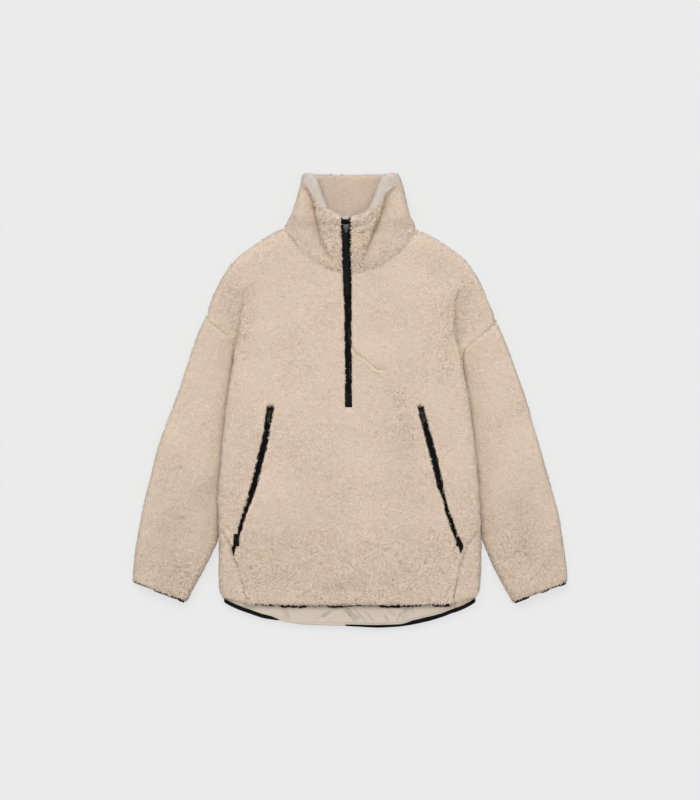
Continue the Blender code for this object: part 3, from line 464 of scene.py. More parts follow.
def mottle_group():
    """Group: mottled value round 1 at three scales of the garment, from Object coordinates."""
    group = bpy.data.node_groups.new("pile_mottle", "ShaderNodeTree")
    for key in ("Broad", "Clump", "Fine"):
        socket(group, key, 0.05)
    socket(group, "Value")
    start = group.nodes.new("NodeGroupInput")
    end = group.nodes.new("NodeGroupOutput")
    place = add_node(group, "ShaderNodeTexCoord")
    total = 1.0
    for key, scale, detail in (("Broad", 14.0, 2.0), ("Clump", 130.0, 2.0), ("Fine", 480.0, 1.0)):
        cloud = add_node(group, "ShaderNodeTexNoise", inputs={"Scale": scale, "Detail": detail})
        wire(group, place.outputs["Object"], cloud.inputs["Vector"])
        centred = maths(group, "SUBTRACT", cloud.outputs["Fac"], 0.5)
        total = maths(group, "ADD", maths(group, "MULTIPLY", centred, start.outputs[key]), total)
    wire(group, total, end.inputs["Value"])
    return group


PATTERN_DEPTH = 0.25      # share of z in the lines' pattern, so that it runs on over the locks


def warped(group, start, scale, amount):
    """Object coordinates in cells of Size, nearly flat in z, shifted by noise of a scale."""
    place = add_node(group, "ShaderNodeTexCoord")
    flat = add_node(group, "ShaderNodeVectorMath", operation="MULTIPLY",
                    inputs={1: (1.0, 1.0, PATTERN_DEPTH)})
    wire(group, place.outputs["Object"], flat.inputs[0])
    cells = add_node(group, "ShaderNodeVectorMath", operation="SCALE")
    wire(group, flat.outputs[0], cells.inputs[0])
    wire(group, maths(group, "DIVIDE", 1.0, start.outputs["Size"]), cells.inputs["Scale"])
    cloud = add_node(group, "ShaderNodeTexNoise", inputs={"Scale": scale, "Detail": 2.0})
    wire(group, cells.outputs[0], cloud.inputs["Vector"])
    shift = add_node(group, "ShaderNodeVectorMath", operation="MULTIPLY_ADD",
                     inputs={1: (amount, amount, amount)})
    wire(group, cloud.outputs["Color"], shift.inputs[0])
    wire(group, cells.outputs[0], shift.inputs[2])
    return shift.outputs[0]


def line_group(name):
    """New group, its input node and the input of its Line: 1 at a distance of 0, 0 from Width on.

    Its inputs are Size, of a cell in metres, and Width, of a line as a share of a cell.
    """
    group = bpy.data.node_groups.new(name, "ShaderNodeTree")
    socket(group, "Size", 0.006)
    socket(group, "Width", 0.2)
    socket(group, "Line")
    start = group.nodes.new("NodeGroupInput")
    end = group.nodes.new("NodeGroupOutput")
    line = add_node(group, "ShaderNodeMapRange", interpolation_type="SMOOTHSTEP",
                    inputs={3: 1.0, 4: 0.0})
    wire(group, start.outputs["Width"], line.inputs[2])
    wire(group, line.outputs[0], end.inputs["Line"])
    return group, start, line.inputs[0]


def parting_group():
    """Group: 1 along the wavering edges of Voronoi cells, where the pile parts, else 0."""
    group, start, distance = line_group("pile_parting")
    clumps = add_node(group, "ShaderNodeTexVoronoi", feature="DISTANCE_TO_EDGE",
                      inputs={"Scale": 1.0})
    wire(group, warped(group, start, 0.9, 1.7), clumps.inputs["Vector"])
    wire(group, clumps.outputs["Distance"], distance)
    return group


def curls_group():
    """Group: 1 along long winding lines about Size apart, between curls like worms, else 0.

    They are level lines of noise n: where the fraction of 5 n is within Width of a half.
    """
    group, start, distance = line_group("pile_curls")
    hills = add_node(group, "ShaderNodeTexNoise", inputs={"Scale": 0.5, "Detail": 0.0})
    wire(group, warped(group, start, 1.3, 1.1), hills.inputs["Vector"])
    part = maths(group, "FRACT", maths(group, "MULTIPLY", hills.outputs["Fac"], 5.0))
    wire(group, maths(group, "ABSOLUTE", maths(group, "SUBTRACT", part, 0.5)), distance)
    return group


PILE_MOTTLE = mottle_group()
PILE_PARTING = parting_group()
PILE_CURLS = curls_group()


def layered(tree, below, amount, most, colour):
    """Colour output that lays a plain colour over another by an amount of at most most."""
    layer = add_node(tree, "ShaderNodeMix", data_type="RGBA")
    layer.inputs["B"].default_value = (*colour, 1.0)
    wire(tree, below, layer.inputs["A"])
    wire(tree, maths(tree, "MULTIPLY", amount, most), layer.inputs["Factor"])
    return layer.outputs["Result"]


CURLS = {"Size": 0.0076, "Width": 0.2}
PARTINGS = {"Size": 0.0047, "Width": 0.14}
PARTINGS_SHARE = 0.36     # strength of the small partings, where the curls' lines have 1
PARTING_RELIEF = {"Strength": 0.4, "Distance": -0.0012}
ROOT_SHARE = 0.3          # of the tips' colour that the locks' feet have
PARTING_SHADE = (0.53, 0.345, 0.21)      # painted shade down between clumps
SHADED = (0.40, 0.27, 0.175)      # deep in a seam or a crease
RUBBED = (0.71, 0.64, 0.58)       # along the collar's edge, where the pile is worn smooth


def fleece(name, tip_colour, root_shade_colour, clump=0.1, fine=0.2):
    """Pile material: the root colour at the locks' feet and the tip colour above, with painted
    shade at the feet and in the partings between clumps.

    Attributes: tip is 0 at a lock's foot and 1 at its end, and lock is a random number of its
    own; curl, 0 brushed to 1 curly, makes the long winding lines of painted shade strong; the
    painted shade attribute blends to SHADED in seams and creases, and rim to RUBBED; the painted
    light attribute brightens or darkens the colour as painted light and shade.
    """
    material, tree, shader = principled(name, 0.92, 0.12)
    shader.inputs["Sheen Weight"].default_value = 0.4
    shader.inputs["Sheen Roughness"].default_value = 0.45
    mottle = add_node(tree, "ShaderNodeGroup", node_tree=PILE_MOTTLE,
                      inputs={"Broad": 0.06, "Clump": clump, "Fine": fine})
    marks = {key: add_node(tree, "ShaderNodeAttribute", attribute_name=key).outputs["Fac"]
             for key in ("tip", "lock", "curl", "hollow", "rim", "painted_light")}
    # painted shade: the locks' feet blend towards the darker root colour
    height = add_node(tree, "ShaderNodeMapRange", inputs={3: ROOT_SHARE, 4: 1.0})
    wire(tree, marks["tip"], height.inputs[0])
    blend = add_node(tree, "ShaderNodeMix", data_type="RGBA")
    blend.inputs["A"].default_value = (*root_shade_colour, 1.0)
    blend.inputs["B"].default_value = (*tip_colour, 1.0)
    wire(tree, height.outputs[0], blend.inputs["Factor"])
    # painted shade along the winding lines between curls and in the small partings
    large = add_node(tree, "ShaderNodeGroup", node_tree=PILE_CURLS, inputs=CURLS)
    small = add_node(tree, "ShaderNodeGroup", node_tree=PILE_PARTING, inputs=PARTINGS)
    strong = maths(tree, "MULTIPLY", large.outputs["Line"], marks["curl"])
    parting = maths(tree, "MULTIPLY_ADD", small.outputs["Line"], PARTINGS_SHARE, strong)
    tinted = layered(tree, blend.outputs["Result"], parting, 0.85, PARTING_SHADE)
    tinted = layered(tree, tinted, marks["rim"], 0.8, RUBBED)
    # painted shade in seams, creases and between lumps, blended towards SHADED
    tinted = layered(tree, tinted, marks["hollow"], 0.85, SHADED)
    own = add_node(tree, "ShaderNodeMapRange", inputs={3: 0.965, 4: 1.035})
    wire(tree, marks["lock"], own.inputs[0])
    # painted light and shade: the colour brighter or darker at places
    lit = maths(tree, "ADD", own.outputs[0], marks["painted_light"])
    shade = add_node(tree, "ShaderNodeVectorMath", operation="SCALE")
    wire(tree, tinted, shade.inputs[0])
    wire(tree, maths(tree, "MULTIPLY", lit, mottle.outputs["Value"]), shade.inputs["Scale"])
    wire(tree, shade.outputs[0], shader.inputs["Base Color"])
    relief = add_node(tree, "ShaderNodeBump", inputs=PARTING_RELIEF)
    wire(tree, parting, relief.inputs["Height"])
    wire(tree, relief.outputs[0], shader.inputs["Normal"])
    return material


SHERPA = fleece("sherpa", (0.85, 0.72, 0.60), (0.76, 0.61, 0.475))
# the same sherpa darker, as painted shade, for the inner layer of the collar
SHADED_SHERPA = fleece("sherpa_painted_shade", (0.745, 0.61, 0.50), (0.655, 0.515, 0.40), clump=0.07,
                       fine=0.22)

# ----------------------------------------
# The cloth as a whole: its thickness, the sections of front and back, the seams and creases,
# and how swollen and curly the pile is at places, with its painted shade and painted light.
SHERPA_WALL = 10.5        # one layer of fleece with its pile
BODY_TOP = 23.5
FRONT_BACKING = 12.8      # underside of the front's layer
SEAM_LEVEL = 11.5         # where front and back meet at the folded sides
SEAM_GAP = 0.3
FOLD_SHIFT = 0.8          # wall of a fold, as a share of the width that it is rounded over
NECK_POWER = 2.15         # bow of the neckline and hem: 2 is a parabola, more is flatter
PILE_ROUND = 8.0          # the pile rounds down by PILE_DROP over this width at the hem
PILE_DROP = 5.0
POCKET_HALF = 5.0
PILE_INSET = 1.7          # from the solid's outside down to the shell that the pile stands on

FRONT_COLUMNS = ("left", "left_y", "fold_left", "right", "right_y", "fold_right",
                 "middle", "round", "pocket_left", "pocket_right")
FRONT_ROWS = (
    (-127, 328, -127, 129, 324, 129, 244, 30, -62, 60),
    (-157, 313, -157, 156, 313, 156, 236, 28, -75, 73),
    (-190.5, 290, -190.5, 190.5, 290, 190.5, 226, 22, -88, 86),
    (-220.5, 267, -220.5, 221.5, 267, 221.5, 214, 18, -99, 96),
    (-237, 244, -237, 237, 244, 237, 200, 15, -107, 103),
    (-251, 221, -251, 250, 221, 250, 184, 14, -113, 108),
    (-266, 187, -266, 264, 187, 264, 162, 13, -119, 113),
    (-274, 160, -274, 279, 151, 279, 140, 13, -123, 116),
    (-260, 147.2, -280, 262, 136.3, 286, 128, 13, -126, 118),
    (-243, 131.7, -287, 241, 118.2, 293, 116, 13, -129, 120),
    (-228, 118, -293, 223, 102.6, 300, 104, 13, -132, 121),
    (-217, 108, -297, 213, 94, 303, 94, 13, -134, 122),
    (-221, 86, -221, 213.5, 72, 213.5, 74, 13, -138, 124),
    (-226, 55, -226, 217, 49, 217, 50, 13, -142, 126.5),
    (-231, 20, -231, 224, 16, 224, 18, 13, -147, 130),
    (-235, -12, -235, 228, -12, 228, -12, 13, -151, 133),
    (-239, -45, -239, 232, -45, 232, -45, 13, -156, 142.5),
    (-243, -82, -243, 237, -82, 237, -82, 13, -163, 152.5),
    (-246, -118, -246, 241, -118, 241, -118, 13, -172, 161.5),
    (-249, -154, -249, 244.5, -154, 244.5, -154, 13, -180.5, 169),
    (-251, -190, -251, 247, -190, 247, -190, 13, -191.5, 180),
    (-249.5, -216, -249.5, 248.2, -216, 248.2, -216, 13, -201, 187),
    (-248, -238, -248, 249, -238, 249, -238, 13, -208, 194.5),
    (-244.5, -243.5, -248.4, 244.4, -243.5, 249.5, -243.5, 13, -209, 196.5),
    (-240.4, -250, -249, 238.9, -250, 250.2, -250, 13, -210.5, 198.5),
    (-236, -257, -249.5, 233, -257, 250, -257, 13, -212, 201),
    (-225, -274, -249.8, 219.5, -274, 250.4, -275, 13, -214.5, 208.5),
    (-213, -314, -250, 208, -314, 249.6, -313, 13, -190, 187),
    (-203, -348, -250, 201, -348, 248.8, -349, 13, -178, 178),
    (-197, -370, -249.6, 196, -370, 248, -372, 13, -172, 172),
    (-195, -379, -249.6, 195, -379, 248, -382, 13, -170, 170),
    (-194, -386, -249.6, 194, -386, 248, -389, 13, -169, 169),
)
# y of the back's sections at the middle, for the same rows, and its longer tail
BACK_MIDDLE = (311, 296, 276, 256, 236, 214, 182, 150, 136, 122, 108, 97, 74, 50, 18, -12,
               -45, -82, -118, -154, -190, -216, -239, -245, -252, -262, -284, -330, -370)
BACK_TAIL = ((-199, -375, -249.6, 198, -375, 248, -400, 13, 0, 0),
             (-194, -398.4, -249.6, 194, -400.3, 248, -426, 13, 0, 0))
# x and how far the back's cut edge lies below its bow
BACK_HEM_DROP = ((-194, 0.0), (-140, 2.7), (-96, 3.9), (-50, 1.4), (-10, 0.8), (20, 2.4),
                 (53, 5.4), (97, 7.1), (125, 6.7), (152, 5.7), (175, 3.5), (194, 0.0))
ZIP_END_ROW = 15
POCKET_ROWS = (15, 26)
SEAM_ROWS = (7, 11, 23)   # armhole seam from row 7 to 11, side panels' seams from row 23
# y, centre x, half width and z of the front zip
ZIP_LINE = ((-14, -2.8, 6.8, 16.0), (100, -3.3, 7.0, 16.0), (190, -4.0, 7.5, 16.0),
            (225, -4.8, 8.3, 16.3), (244, -5.5, 9.0, 17.2), (270, -6.2, 9.3, 20.6),
            (300, -7.0, 9.6, 25.0), (347, -8.0, 10.0, 30.4))

# start x and y, end x and y, width and height of each soft fold
FRONT_FOLDS = (
    (-140, -343, -93, -322, 14, -2.6), (-47, -366, 19, -360, 13, -2.2),
    (74, -352, 105, -333, 15, -2.0), (-152, -290, -120, -284, 22, -2.0),
    (88, -105, 96, -75, 28, -1.8), (150, -300, 160, -345, 16, -2.0),
    (-30, -338, 10, -328, 16, 1.6), (40, -372, 58, -318, 14, 1.8),
    (-142, -180, -128, -140, 26, 1.6), (-70, 60, -60, -60, 40, -1.2),
    (30, 120, 60, 84, 26, 1.4), (0, -200, 36, -260, 30, 1.4),
)


def zip_edges(y):
    """x of the left and right edge of the front zip's slot."""
    centre, half_width = read(ZIP_LINE, y, 1), read(ZIP_LINE, y, 2)
    return centre - half_width, centre + half_width


def from_slot(x, y):
    """Distance of places from the front zip's slot, below 0 in it."""
    slot_left, slot_right = zip_edges(y)
    return np.maximum(slot_left - x, x - slot_right)


def stretch(start, end, cells, bend, step):
    """Places from start to end of each row, without the last; bend crowds them at an end."""
    t = np.arange(cells * step) / (cells * step)
    if bend == "start":
        t = 1.0 - np.cos(t * math.pi / 2.0)
    elif bend == "end":
        t = np.sin(t * math.pi / 2.0)
    return start[:, None] + (end - start)[:, None] * t


def over_zones(borders, zones, step):
    """Places over each row from border to border, through zones of (cells, bend)."""
    parts = [stretch(start, end, *zone, step)
             for start, end, zone in zip(borders, borders[1:], zones)]
    return np.hstack(parts + [borders[-1][:, None]])


def section_y(rows, x):
    """y of the sections at x: straight between a panel's edges, rounded to its middle."""
    left, right = rows["left"][:, None], rows["right"][:, None]
    share = (x - left) / (right - left)
    straight = rows["left_y"][:, None] * (1 - share) + rows["right_y"][:, None] * share
    level = (rows["left_y"] + rows["right_y"])[:, None] / 2.0
    bow = 1.0 - np.abs(np.clip(2.0 * share - 1.0, -1, 1)) ** NECK_POWER
    return straight + (rows["middle"][:, None] - level) * bow


def lumps(x, y, seed=0):
    """Lumps of a few locks of pile, -1 to 1."""
    return 0.65 * noise(x / 7.0, y / 7.0, seed + 2) + 0.35 * noise(x / 4.0, y / 4.0, seed + 3)


def swollen(x, y, curly, seed=0):
    """Uneven height of the pile: broad nap, hand-sized swells and lumps, more where curly."""
    return (0.55 * noise(x / 48.0, y / 48.0, seed)
            + (0.2 + 0.4 * curly) * noise(x / 19.0, y / 19.0, seed + 1)
            + (0.25 + 1.2 * curly) * lumps(x, y, seed))


SEAM_LINES = (
    ((-274, 160), (-217.5, 107.7)), ((279, 151), (213.3, 93.7)),
    ((-245, -243.5), (-236, -257), (-225, -274), (-213, -314), (-203, -348), (-194.5, -386)),
    ((245, -243.5), (233, -257), (219.5, -274), (208, -314), (201, -348), (194.5, -386)),
)
NECK_SEAM = ((-127, 328), (-113.5, 311.5), (-95, 291), (-59, 259), (-28.5, 246), (-17, 244),
             (7.5, 244), (22.8, 246), (41.8, 255.5), (79.8, 282), (110, 311.5), (129, 324))
# y, x and depth of the crease down the body's sides, where the arms are folded in
BODY_CREASE = {
    "left": ((60, -221.5, 7.0), (100, -218, 6.5), (124, -213, 6.0), (148, -209, 5.5),
             (180, -204.5, 4.5), (200, -202, 3.0), (216, -198, 0.0)),
    "right": ((50, 213.5, 7.0), (92, 208, 6.5), (124, 203.3, 6.0), (157, 200.6, 5.5),
              (191, 200.6, 4.0), (206, 206, 2.0), (218, 211, 0.0)),
}
# a line on the chest where the pile is pressed, and the soft ridge that goes on from it
NAP_CREASE = ((4, 101), (13, 88.4), (28.5, 79), (47.5, 63.6), (57, 58))
NAP_RIDGE = ((57, 58), (71, 48.5), (86, 22), (95, 1), (108, -38), (119, -75))


def creases_at(creases, x, y):
    """How far places are outside each of a pair of creases, and its depth beside them."""
    for side, outward in (("left", -1.0), ("right", 1.0)):
        yield (x - read(creases[side], y, 1)) * outward, read(creases[side], y, 2)


def crease_depth(creases, x, y, inner, outer):
    """Depth of a pair of creases: steep within inner mm inside, easing out over outer mm."""
    return sum(depth * bell(away, np.where(away > 0, outer, inner))
               for away, depth in creases_at(creases, x, y))


def crease_shade(creases, x, y):
    """0 to 1 in a pair of creases: dark at the line, fading out to the sides."""
    total = 0.0
    for away, depth in creases_at(creases, x, y):
        total = total + np.clip(depth / 6.0, 0.0, 1.0) * (
            0.32 * bell(away, np.where(away > 0, 14.0, 1.4))
            + 0.9 * bell(away, np.where(away > 0, 3.6, 1.8)))
    return np.clip(total, 0.0, 1.0)


def hollow_at(x, y):
    """0 to 1 of painted shade where the pile parts: along seams, creases and a pressed line on the
    chest.
    """
    total = 0.17 * bell(to_line(x, y, NECK_SEAM), 2.4)
    for line, strong in zip(SEAM_LINES, (0.62, 0.62, 0.6, 0.6)):
        total = np.maximum(total, strong * bell(to_line(x, y, line), 1.8))
    total = np.maximum(total, crease_shade(BODY_CREASE, x, y) * ease((y - 40.0) / 30.0))
    total = np.maximum(total, 0.72 * bell(to_line(x, y, NAP_CREASE), 1.7))
    total = np.maximum(total, 0.12 * bell(to_line(x, y, NAP_RIDGE), 3.0))
    return total * (0.7 + 0.45 * noise(x / 9.0, y / 9.0, 9))


# start x and y, end x and y, width and brightness of each spot of painted light and shade
PAINTED_LIGHT_SPOTS = (
    (100, -90, 100, -84, 30, -0.05), (-152, -290, -190, -250, 40, -0.035),
    (89, -160, 89, -150, 28, -0.03), (-256, -165, -350, -256, 20, -0.045),
    (-355, -261, -350, -255, 24, -0.04), (-355, -341, -345, -335, 18, -0.05),
    (329, -205, 333, -300, 20, -0.05), (-139, -160, -150, -130, 30, 0.03),
    (38, -233, 30, -215, 34, 0.03), (28, -141, 28, -130, 30, 0.02),
    (51, 100, 40, 90, 26, 0.03), (156, 204, 140, 214, 34, 0.03),
    (-133, -337, -89, -331, 13, -0.04), (-30, -362, -10, -358, 13, -0.035),
    (80, -358, 98, -352, 12, -0.035),
)

# start x and y, end x and y, width and curl of each curly stretch
CURLY_SPOTS = (
    (-232, 216, -224, 120, 24, 0.4), (-186, 216, -200, 90, 12, 0.4),
    (222, 216, 214, 130, 20, 0.45), (180, 180, 184, 60, 14, 0.3),
    (246, -100, 240, -240, 20, 0.2), (57, 58, 95, 1, 10, 0.22), (95, 1, 119, -75, 10, 0.26),
)
# overall level of the painted light and shade
PAINTED_LIGHT_LEVEL = -0.012


def painted_light_at(x, y):
    """Painted light and shade at places: darker towards the hem and cuffs, lighter at the front of
    the neck and on ridges beside the seams, with a few spots.
    """
    low = 0.04 * ease((60.0 - y) / 420.0)
    cuff = 0.03 * ease((np.abs(x) - 245.0) / 70.0) * ease((-60.0 - y) / 220.0)
    neck = 0.05 * bell(np.abs(x + 8.0), 40.0) * ease((y - 255.0) / 12.0) * ease((362.0 - y) / 14.0)
    ridge = sum(bell(to_line(x, y, line) - 4.5, 3.0) for line in SEAM_LINES)
    return PAINTED_LIGHT_LEVEL + folds_at(x, y, PAINTED_LIGHT_SPOTS) - low - cuff + neck + 0.06 * ridge


def standing(x, y):
    """Share of the locks that stand at places: few along seams and creases."""
    return 1.0 - 0.85 * ease(2.6 * hollow_at(x, y) - 0.35)


def curl_at(x, y):
    """How curly the pile is at places: brushed on the chest, curled low down and in patches."""
    low = ease((-120.0 - y) / 230.0)
    shoulder = folds_at(x, y, CURLY_SPOTS)
    patch = noise(x / 55.0, y / 55.0, 7)
    return np.clip(0.18 + 0.07 * ease((70.0 - y) / 120.0) + 0.3 * low + 0.18 * patch + shoulder,
                   0.0, 1.0)


def pile_values(x, y, curly, seed=0, hollow=0.0, rim=0.0):
    """Values of the pile at places for its material, with painted shade between its lumps."""
    one = np.ones(np.shape(x))
    lump_shade = (0.04 + 0.2 * curly) * np.clip(-lumps(x, y, seed), 0.0, 1.0)
    return {"hollow": np.clip(hollow + lump_shade, 0.0, 1.0) * one, "curl": curly * one,
            "rim": rim * one, "painted_light": painted_light_at(x, y)}


def raised(grid, height, closed=False, outward=1.0):
    """A grid moved along its normals by a height at each point."""
    return grid + normals_of(grid, closed) * outward * height[..., None]


# ----------------------------------------
# Front panel: one piece of fleece with dropped shoulders, a slot for the zip and two pocket
# slits. Its pile rounds down at the seams, the slot, the slits and the hem.
ROW_STEP = 4
COLUMN_STEP = 6
EDGE_SHARE = 0.55         # most of the width beside a slit that the side's rounding takes
front_track = [((row[1] + row[4]) / 2.0 + row[6]) / 2.0 for row in FRONT_ROWS]
front_numbers = even_rows(front_track, (0, POCKET_ROWS[0], POCKET_ROWS[1], 31), 2.5, ROW_STEP)
front_rows = smooth_rows(FRONT_ROWS, FRONT_COLUMNS, front_numbers)
zip_left, zip_right = zip_edges(front_rows["middle"])
slit = {"left": front_rows["pocket_left"], "right": front_rows["pocket_right"]}
left_edge = np.minimum(front_rows["round"],
                       EDGE_SHARE * (slit["left"] - POCKET_HALF - front_rows["left"]))
right_edge = np.minimum(front_rows["round"],
                        EDGE_SHARE * (front_rows["right"] - slit["right"] - POCKET_HALF))
front_borders = (
    front_rows["left"], front_rows["left"] + left_edge,
    slit["left"] - POCKET_HALF, slit["left"] + POCKET_HALF, zip_left, zip_right,
    slit["right"] - POCKET_HALF, slit["right"] + POCKET_HALF,
    front_rows["right"] - right_edge, front_rows["right"],
)
FRONT_ZONES = ((2, "start"), (5, "even"), (1, "even"), (9, "even"), (1, "even"), (9, "even"),
               (1, "even"), (5, "even"), (2, "end"))
front_cells = [cells for cells, _ in FRONT_ZONES]
front_x = over_zones(front_borders, FRONT_ZONES, COLUMN_STEP)
front_y = section_y(front_rows, front_x)


def beside_slot(number):
    """1 in the rows that the zip's slot crosses, else 0."""
    return ease((ZIP_END_ROW + 0.3 - number) / 0.3)


def beside_slit(number):
    """1 in the rows that the pocket slits cross, else 0."""
    return (ease((number - POCKET_ROWS[0] + 0.3) / 0.3)
            * ease((POCKET_ROWS[1] + 0.3 - number) / 0.3))


EDGE_DIP = 6.0            # width over which the pile rounds down to a slot or slit
SLOT_DIP = 3.2
SLIT_DIP = 3.0


def front_form(x, y, rows, numbers):
    """Outer and inner points of the front: the solid's form with its seams and edges dipped."""
    column = {name: values[:, None] for name, values in rows.items()}
    number = numbers[:, None]
    from_left, from_right = x - column["fold_left"], column["fold_right"] - x
    away = np.minimum(from_left, from_right)
    inward = np.where(from_left < from_right, 1.0, -1.0)
    up = rise(away / column["round"])
    swell = 2.5 * bell(away - 30.0, 26.0) * ease((90.0 - y) / 60.0)
    top = BODY_TOP + swell + folds_at(x, y, FRONT_FOLDS)
    top -= crease_depth(BODY_CREASE, x, y, 3.0, 26.0) * ease((y - 80.0) / 30.0)
    top += 1.3 * bell(to_line(x + 2.0, y + 5.0, NAP_CREASE + NAP_RIDGE[1:]), 5.0)
    top -= 1.4 * bell(to_line(x, y, NAP_CREASE), 2.4)
    top -= PILE_DROP * (1.0 - rise((y - FRONT_ROWS[-1][6]) / PILE_ROUND))
    foot = SEAM_LEVEL + SEAM_GAP / 2.0
    outer = np.stack([x, y, foot + (top - foot) * up], -1)
    shift = inward * FOLD_SHIFT * column["round"] * (1.0 - np.minimum(away / column["round"], 1.0))
    inner = np.stack([x + shift, y, foot + (FRONT_BACKING - foot) * up], -1)
    panel_edge = np.minimum(x - column["left"], column["right"] - x)
    sewn = ease((number - SEAM_ROWS[0] + 0.6) / 0.6) * ease((SEAM_ROWS[1] + 0.6 - number) / 0.6)
    sewn = np.maximum(sewn, ease((number - SEAM_ROWS[2] + 0.5) / 1.0))
    dip = sewn * bell(panel_edge, 4.5)
    neck = np.abs(y - section_y({k: v[:1] for k, v in rows.items()}, np.clip(
        x, rows["left"][0], rows["right"][0])))
    dip = np.maximum(dip, 0.5 * bell(neck, 5.0) * ease((4.0 - number) / 1.0))
    slot_dip = SLOT_DIP * (1.0 - rise(from_slot(x, y) / EDGE_DIP)) * beside_slot(number)
    dip = np.maximum(dip, slot_dip)
    for name in ("pocket_left", "pocket_right"):
        from_slit = np.abs(x - column[name]) - POCKET_HALF
        slit_dip = SLIT_DIP * (1.0 - rise(from_slit / EDGE_DIP)) * beside_slit(number)
        dip = np.maximum(dip, slit_dip)
    return outer, inner, dip


# y and how far the pile laps over each edge of a slit
SLIT_LAP = {
    "left": ((-290, 3.6), (-262, 3.2), (-250, 3.2), (-238, 2.5), (-226, 2.8), (-205, 2.5),
             (-190, 1.8), (-170, 0.6), (-64, 0.0), (-56, 1.6), (-48, 1.4), (-40, 0.0), (0, 0.0)),
    "right": ((-290, 3.6), (-262, 1.8), (-257, 2.4), (-250, 1.4), (-236, 2.5), (-228, 2.2),
              (-222, 2.9), (-212, 2.7), (-203, 3.9), (-181, 3.9), (-172, 2.0), (-160, 0.6),
              (-121, 0.2), (-64, 0.0), (-40, 1.2), (0, 0.8)),
}
LAP_WIDTH = 4.0           # of the pile's edge that leans over a zip


def overhang(x, y, rows, numbers):
    """Sideways shift of the pile's upper edge over the zips, uneven from lock to lock."""
    number = numbers[:, None]
    ragged = (0.8 * noise(np.full_like(x, 3.0), y / 5.0, 31)
              + 0.5 * noise(np.full_like(x, 8.0), y / 2.3, 33))
    slot_left, slot_right = zip_edges(y)
    centre = (slot_left + slot_right) / 2.0
    lap = np.clip(0.4 + ragged * np.where(x < centre, 1.0, -0.8), -0.4, 2.0)
    near = bell(np.maximum(from_slot(x, y), 0.0), LAP_WIDTH)
    shift = np.sign(centre - x) * lap * near * beside_slot(number)
    for side in ("left", "right"):
        away = x - rows[f"pocket_{side}"][:, None]
        lap = read(SLIT_LAP[side], y, 1) - 1.0 + np.clip(ragged * np.sign(away), -0.6, 1.2)
        near = bell(np.maximum(np.abs(away) - POCKET_HALF, 0.0), LAP_WIDTH)
        shift = shift - np.sign(away) * lap * near * beside_slit(number)
    return shift


front_outer, front_inner, front_dip = front_form(front_x, front_y, front_rows, front_numbers)
front_curl = curl_at(front_x, front_y)
front_top = raised(front_outer, swollen(front_x, front_y, front_curl) - PILE_INSET - front_dip)
front_top[..., 0] += overhang(front_x, front_y, front_rows, front_numbers)
FOLD_LEAN = 2.2           # how far the body's fold leans out over the sleeves below the arms
FOLD_LEAN_WIDTH = 8.0
leaning = FOLD_LEAN * ease((104.0 - front_y) / 14.0)
front_top[..., 0] -= leaning * bell(front_x - front_rows["fold_left"][:, None], FOLD_LEAN_WIDTH)
front_top[..., 0] += leaning * bell(front_rows["fold_right"][:, None] - front_x, FOLD_LEAN_WIDTH)
zip_cell = sum(front_cells[:4])
slit_cells = (sum(front_cells[:2]), sum(front_cells[:6]))
coarse_numbers = front_numbers[::ROW_STEP]
front_cut = [(i, zip_cell) for i in range(len(coarse_numbers) - 1)
             if coarse_numbers[i] < ZIP_END_ROW - 0.01]
front_cut += [(i, j) for i in range(len(coarse_numbers) - 1) for j in slit_cells
              if POCKET_ROWS[0] - 0.01 < coarse_numbers[i] < POCKET_ROWS[1] - 0.01]
front_piece = shell("front_cloth", front_top, front_inner[::ROW_STEP, ::COLUMN_STEP],
                    (ROW_STEP, COLUMN_STEP), SHERPA, cut=front_cut,
                    values=pile_values(front_x, front_y, front_curl,
                                       hollow=hollow_at(front_x, front_y)))
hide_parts("front_panel")

SLOT_WEIGHT = 0.35        # share of the locks that stand right beside the zip's slot
SLIT_WEIGHT = 0.12        # and beside the pocket slits
front_weight = standing(front_x, front_y)
for i, j in front_cut:
    rows = slice(i * ROW_STEP, (i + 1) * ROW_STEP)
    front_weight[rows, j * COLUMN_STEP:(j + 1) * COLUMN_STEP] = 0.0
    beside = (j * COLUMN_STEP - 1, (j + 1) * COLUMN_STEP)
    front_weight[rows, beside] *= SLOT_WEIGHT if j == zip_cell else SLIT_WEIGHT
third = front_top.shape[0] // 3
for number, part in enumerate(("shoulder", "middle", "hem")):
    rows = slice(number * third, (number + 1) * third + 1 if number < 2 else None)
    base, normal = scatter(front_top[rows], front_weight[rows], PILE_PER_MM2, 11 + number)
    x, y = plan(base)
    curly = curl_at(x, y)
    piece = tufts(f"front_pile_{part}", base, normal, curly, SHERPA, 21 + number,
                  values=pile_values(x, y, curly, hollow=hollow_at(x, y)))

# Short locks along the neck, armhole and side seams, more along the neck's, and over the outer
# ends of the armhole seams.
NECK_FRINGE = 2.3         # locks a mm of seam
SIDE_FRINGE = 1.0
CORNER_FRINGE = 3.0
SEAM_SPREAD = 2.6
CORNERS = ((3.6, 3.5), (3.0, 10.5), (4.6, 17.0))    # how far in from a seam's end, and z
in_rows = (front_numbers >= SEAM_ROWS[0]) & (front_numbers <= SEAM_ROWS[1])
low_rows = front_numbers >= SEAM_ROWS[2]
slot_columns = (zip_cell * COLUMN_STEP, (zip_cell + 1) * COLUMN_STEP)
seam_lines = [front_top[0, :slot_columns[0] - 2], front_top[0, slot_columns[1] + 3:]]
seam_lines += [front_top[chosen, column] for chosen in (in_rows, low_rows) for column in (0, -1)]
seam_places = [fringe(line, NECK_FRINGE if i < 2 else SIDE_FRINGE, SEAM_SPREAD, 200 + i)
               for i, line in enumerate(seam_lines)]
